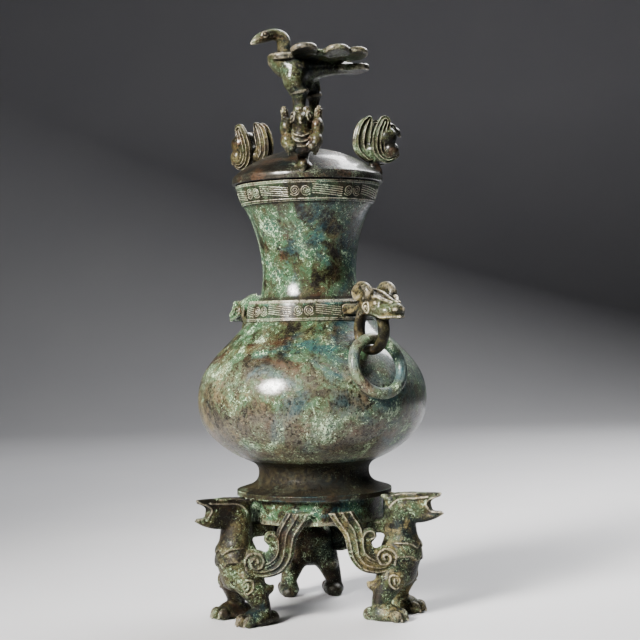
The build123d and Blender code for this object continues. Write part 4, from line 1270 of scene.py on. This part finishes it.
def lid_bird_mesh(base):
    """A bird that faces +X; base is the height of the dome under it."""
    root = lid_bird_radius
    clay = Clay((root - 19, -15, base - 9), (root + 24, 15, base + 42), 0.4)

    def at(x, y, z):
        return (root + x, y, base + z)

    # Base, legs and body
    clay.add(ball(at(-1, 0, -0.6), (6.5, 6.2, 3)))
    clay.add(limb([at(-0.5, 0, -1), at(0.5, 0, 4), at(1.5, 0, 10)], [4.6, 3.6, 4.6]), 1.5)
    clay.add(limb([at(1.5, 0, 5), at(3.4, 0, 0.5), at(4.2, 0, -2.6)], [2.8, 3.4, 2.2]), 1.0)
    clay.add(ball(at(2.5, 0, 15), (10, 8, 7.4)), 2)
    clay.add(ball(at(8, 0, 13.2), (6.2, 8.4, 7)), 2)

    # Neck, head and hooked beak
    clay.add(limb([at(8, 0, 17), at(9.2, 0, 23), at(10.4, 0, 28.4)], [7.4, 6.2, 5.6]), 2)
    clay.add(ball(at(11, 0, 29), (5.8, 6.4, 5)), 1.5)
    clay.add(limb([at(14, 0, 29.6), at(18, 0, 29), at(20.2, 0, 26)], [3.4, 2.5, 1.0]), 1)

    # Ringed eyes and brows
    clay.both(ball(at(13.2, 5.2, 30.2), (1.9, 1.7, 1.9)), 0.4)
    clay.both(hoop(at(13.2, 5.4, 30.2), (0.5, 1, 0.1), 2.9, 0.9), 0.4)
    clay.both(ball(at(9.6, 4, 33), (4.2, 1.8, 1.6), 12), 0.8)

    # Upright wings with lobes in front, and a fan behind
    lean = math.radians(6)
    rise = np.array([0, math.sin(lean), math.cos(lean)])
    feather = [(14.5, 1), (8, -0.8), (3.4, 3.4), (2.6, 10.5), (4, 18), (6, 24)]
    feather_widths = [4.5, 8, 10, 11, 10.5, 8.5]
    wing_root = at(0, 8.8, 10.5)
    clay.both(ribbon(wing_root, (1, 0, 0), rise, feather, feather_widths, 5.4, ridges=4, relief=1.5), 0.8)
    clay.both(ball(at(13.8, 6.6, 10.8), (3, 2.6, 2.8)), 0.8)
    clay.both(ball(at(8.6, 10.2, 24), (6.2, 4.4, 6.6)), 1.6)
    clay.both(ball(at(11, 9.6, 15), (5.4, 4.4, 5.4)), 1.6)
    fan = [(-3, 3), (-7.2, 10), (-7, 18), (-5, 25), (-2.6, 30)]
    fan_widths = [7, 12, 13, 11, 5]
    for side in (-2.6, 2.6):
        root_of_fan = at(0, side, 7.5)
        clay.add(ribbon(root_of_fan, (1, 0, 0), (0, 0, 1), fan, fan_widths, 4.6, ridges=3, relief=1.4), 0.8)

    # Folds on the breast
    for fold in range(3):
        z = 19 - 3.6 * fold
        half_fold = [at(10, 6.4, z + 3), at(13.4, 4, z)]
        other_half = [at(13.4, -4, z), at(10, -6.4, z + 3)]
        clay.thread(half_fold + [at(15, 0, z - 1.5)] + other_half, 0.8, 0.1)
    data = clay.mesh("lid_bird")
    add_wear(data, 8)
    return data


dome_at_bird = on_ball(dome_ball, [lid_bird_radius * MM])[0][1] / MM
lid_bird = lid_bird_mesh(dome_at_bird)
for number, angle_z in enumerate(lid_bird_angles, start=1):
    face = Matrix.Rotation(math.radians(angle_z + lid_turn), 4, "Z")
    piece(f"lid_bird_{number}_cast", copy_of(lid_bird, face), "lid", [f"lid_bird_{number}"], bird_patina)

# %% [markdown]
# ## The bird on the crown
#
# A long-legged bird stands on top of the lid with its neck bent forward. Its breast, wings and tail are
# thick plates with rounded lobes, like drawn clouds. Cut-out plates would have hard edges and joints, so
# the lobes are discs that flow together in the clay.

# %% Crown bird
crown_heading = -90.0
spine_height = 59


def disc(centre, radius, half, tilt=0.0):
    """A flat round plate; tilt lifts its +Y side."""
    a = math.radians(tilt)

    def distance(x, y, z):
        dx, dy, dz = x - centre[0], y - centre[1], z - centre[2]
        v = dy * math.cos(a) + dz * math.sin(a)
        w = dz * math.cos(a) - dy * math.sin(a)
        return smooth_max(np.sqrt(dx**2 + v**2) - radius, np.abs(w) - half, 2.0)

    reach = radius + half
    return Form(np.array(centre) - reach, np.array(centre) + reach, distance)


def crown_mesh(top):
    """The bird facing +X; top is the height of the lid's crown."""
    clay = Clay((-52, -28, top - 6), (44, 28, top + 90), 0.55)
    spine = top + spine_height

    # Legs with a band at the knee, and thighs
    for side, thick in ((1, 4.3), (-1, 3.2)):
        foot = 8 * side
        y = 7 * side
        leg = [(foot, y, top - 4), (foot, y, top + 12), (foot - 0.5, y, top + 27), (foot - 1, y, top + 38)]
        clay.add(limb(leg, [thick + 1.4, thick, thick, thick + 1]), 1)
        clay.add(hoop((foot - 1, y, top + 38.4), (0.2, 0, 1), thick + 1, 1.4), 0.6)
        bent = (foot + 2 + side, 6.6 * side, top + 46)
        thigh = [(foot - 1, y, top + 39), bent, (5 + 4 * side, 5 * side, top + 54)]
        clay.add(limb(thigh, [thick + 1.4, thick + 3, 8.4]), 2)

    # Body, neck and head
    body = [(-44, 0, spine - 1), (-28, 0, spine - 1), (-14, 0, spine - 1.5),
            (0, 0, spine - 3), (12, 0, spine - 2), (22, 0, spine + 1)]
    clay.add(limb(body, [2.6, 4.6, 6.6, 9.4, 9.4, 5]), 3)
    high = spine + 23.4
    neck = [(12.6, 0, spine + 2), (14.6, 0, spine + 8), (15.6, 0, high - 7), (18.6, 0, high - 4.2),
            (23, 0, high - 3.4), (29, 0, high - 5), (34.4, 0, high - 7.4), (38.2, 0, high - 10)]
    clay.add(limb(neck, [5.8, 5.0, 4.8, 4.4, 4.0, 4.0, 3.1, 1.4]), 1.5)

    # Ringed eyes and the line of the beak
    clay.both(ball((30, 3.4, high - 4.2), (1.4, 0.9, 1.3)), 0.3)
    clay.both(hoop((30, 3.5, high - 4.2), (0.1, 1, 0.2), 2.0, 0.55), 0.3)
    clay.lines([(39, 2, high - 10), (34, 3.2, high - 8.6), (31, 3.6, high - 8)], 0.5)

    # Plates of the breast and the tail
    clay.add(disc((15.2, 0, spine + 4), 11.6, 2.4), 1.2)
    clay.both(disc((-37.6, 5.4, spine - 1.6), 8.4, 2.3), 1.0)
    clay.add(disc((-28, 0, spine - 1.6), 8.5, 2.3), 1.5)
    data = clay.mesh("crown_bird")
    add_wear(data, 8)
    return data


def crown_wing_mesh(top):
    """The left wing: three lobes on a plate that rises from the flank."""
    spine = top + spine_height
    lift = 14.0
    clay = Clay((-46, 1, spine - 4), (24, 36, spine + 18), 0.5)
    for x, y, radius in ((7, 18, 9.4), (-17, 18, 9.2), (-32, 15.5, 9.0), (-6, 8, 10), (-20, 9, 9), (4, 9, 9)):
        clay.add(disc((x, y, spine + 2.4 + y * math.tan(math.radians(lift))), radius, 2.1, lift), 1.2)
    data = clay.mesh("crown_wing")
    add_wear(data, 8)
    return data


lid_top = lid_apex / MM
crown = crown_mesh(lid_top)
crown_wing = crown_wing_mesh(lid_top)
face = Matrix.Rotation(math.radians(crown_heading + lid_turn), 4, "Z")
piece("crown_bird_cast", copy_of(crown, face), "lid", ["crown_bird"], bird_patina)
for side, hand in ((1, "left"), (-1, "right")):
    node = f"crown_wing_{hand}"
    mirror = Matrix.Scale(side, 4, (0, 1, 0))
    piece(f"{node}_cast", copy_of(crown_wing, face @ mirror), "lid", [node], bird_patina)


# %% [markdown]
# ## Camera
#
# The photograph looks level at the vessel from between its front beast and its first handle, with a long
# lens and a slight roll. A camera set by eye would drift, so it is worked out from the picture: the
# column of the vessel's axis, the row of the horizon and the focal length in pixels.

# %% Camera
camera_angle = math.radians(-34.0)
camera_distance = 1.0
camera_height = 0.205
pixels_per_frame = 640
focal_pixels = 1428.6
horizon_row = 316.6
axis_column = 310.5
roll = math.radians(1.3)

camera_data = bpy.data.cameras.new("camera")
camera_data.sensor_width = 36.0
camera_data.lens = camera_data.sensor_width * focal_pixels / pixels_per_frame
camera_data.shift_x = (pixels_per_frame / 2 - axis_column) / pixels_per_frame
camera_data.shift_y = (horizon_row - pixels_per_frame / 2) / pixels_per_frame
camera = bpy.data.objects.new("camera", camera_data)
bpy.context.scene.collection.objects.link(camera)
stand = Vector((math.cos(camera_angle), math.sin(camera_angle), 0)) * camera_distance
stand.z = camera_height
facing = Matrix.Rotation(camera_angle + math.pi / 2, 4, "Z") @ Matrix.Rotation(math.pi / 2, 4, "X")
camera.matrix_world = Matrix.Translation(stand) @ facing @ Matrix.Rotation(-roll, 4, "Z")
bpy.context.scene.camera = camera
print("lens", round(camera_data.lens, 1), "mm")

# %% [markdown]
# ## Floor
#
# A studio rolls out pale paper that bends up behind the object. A flat plane would end in a hard
# horizon, so the floor is a strip of quads along a path with a round bend.

# %% Floor
floor_finish = bpy.data.materials.new("pale_floor")
floor_finish.use_nodes = True
floor_graph = Graph(floor_finish.node_tree)
floor_graph.tree.nodes.clear()
floor_place = floor_graph.node("ShaderNodeTexCoord", out="Object")
floor_cloud = floor_graph.node("ShaderNodeTexNoise", None, {"Vector": floor_place, "Scale": 6.0})
floor_colour = floor_graph.mix(floor_cloud, (0.36, 0.36, 0.38, 1), (0.40, 0.40, 0.41, 1))
floor_sockets = {"Base Color": floor_colour, "Roughness": 0.6}
floor_shader = floor_graph.node("ShaderNodeBsdfPrincipled", None, floor_sockets)
floor_graph.node("ShaderNodeOutputMaterial", None, {"Surface": floor_shader})

sweep_start = 1.6
sweep_bend = 0.7
sweep_path = [(-2.0, 0.0)]
for turn_up in np.linspace(-math.pi / 2, 0, 25):
    back = sweep_start + sweep_bend * math.cos(turn_up)
    sweep_path.append((back, sweep_bend + sweep_bend * math.sin(turn_up)))
sweep_path.append((sweep_start + sweep_bend, 3.0))
sweep_width = 3.0
floor_data = bpy.data.meshes.new("floor")
sweep_verts = [(side * sweep_width, y, z) for y, z in sweep_path for side in (-1, 1)]
sweep_faces = [(2 * i, 2 * i + 1, 2 * i + 3, 2 * i + 2) for i in range(len(sweep_path) - 1)]
floor_data.from_pydata(sweep_verts, [], sweep_faces)
floor_data.transform(Matrix.Rotation(camera_angle + math.pi / 2, 4, "Z"))
floor_data.materials.append(floor_finish)
floor_data.shade_smooth()
floor = bpy.data.objects.new("floor", floor_data)
bpy.context.scene.collection.objects.link(floor)
print("floor", len(sweep_faces), "faces")


# %% [markdown]
# ## Light
#
# Polished metal shows its form by highlights next to dark reflections. An even sky would lay a grey veil
# over the patina, so three soft lamps light it, and the air adds very little: a narrow key from the left,
# a weak fill from the right and a broad lamp from behind.


# %% Lamps and air
belly_height = 0.15


def lamp(name, place, size, spread, power, colour):
    """A softbox aimed at the belly; place is right, near and up as the camera sees it, in metres."""
    data = bpy.data.lights.new(name, "AREA")
    data.shape = "RECTANGLE"
    data.size, data.size_y = size
    data.spread = math.radians(spread)
    data.energy = power
    data.color = colour
    made = bpy.data.objects.new(name, data)
    bpy.context.scene.collection.objects.link(made)
    right, near, up = place
    spot = Matrix.Rotation(camera_angle + math.pi / 2, 3, "Z") @ Vector((right, -near, up))
    aim = Vector((0, 0, belly_height)) - spot
    made.matrix_world = Matrix.Translation(spot) @ aim.to_track_quat("-Z", "Y").to_matrix().to_4x4()


lamp("key", (-0.85, 0.92, 0.85), size=(0.6, 0.8), spread=30, power=12.0, colour=(1.0, 0.97, 0.92))
lamp("fill", (1.3, 0.5, 0.9), size=(0.5, 0.5), spread=180, power=1.2, colour=(1.0, 0.98, 0.96))
lamp("back", (0.55, -0.9, 1.25), size=(0.8, 0.8), spread=180, power=54, colour=(1.0, 1.0, 1.0))

world = bpy.data.worlds.new("studio")
world.use_nodes = True
air = world.node_tree.nodes["Background"].inputs
air["Color"].default_value = (0.8, 0.82, 0.86, 1)
air["Strength"].default_value = 0.015
bpy.context.scene.world = world
print("lamps: key, fill, back")
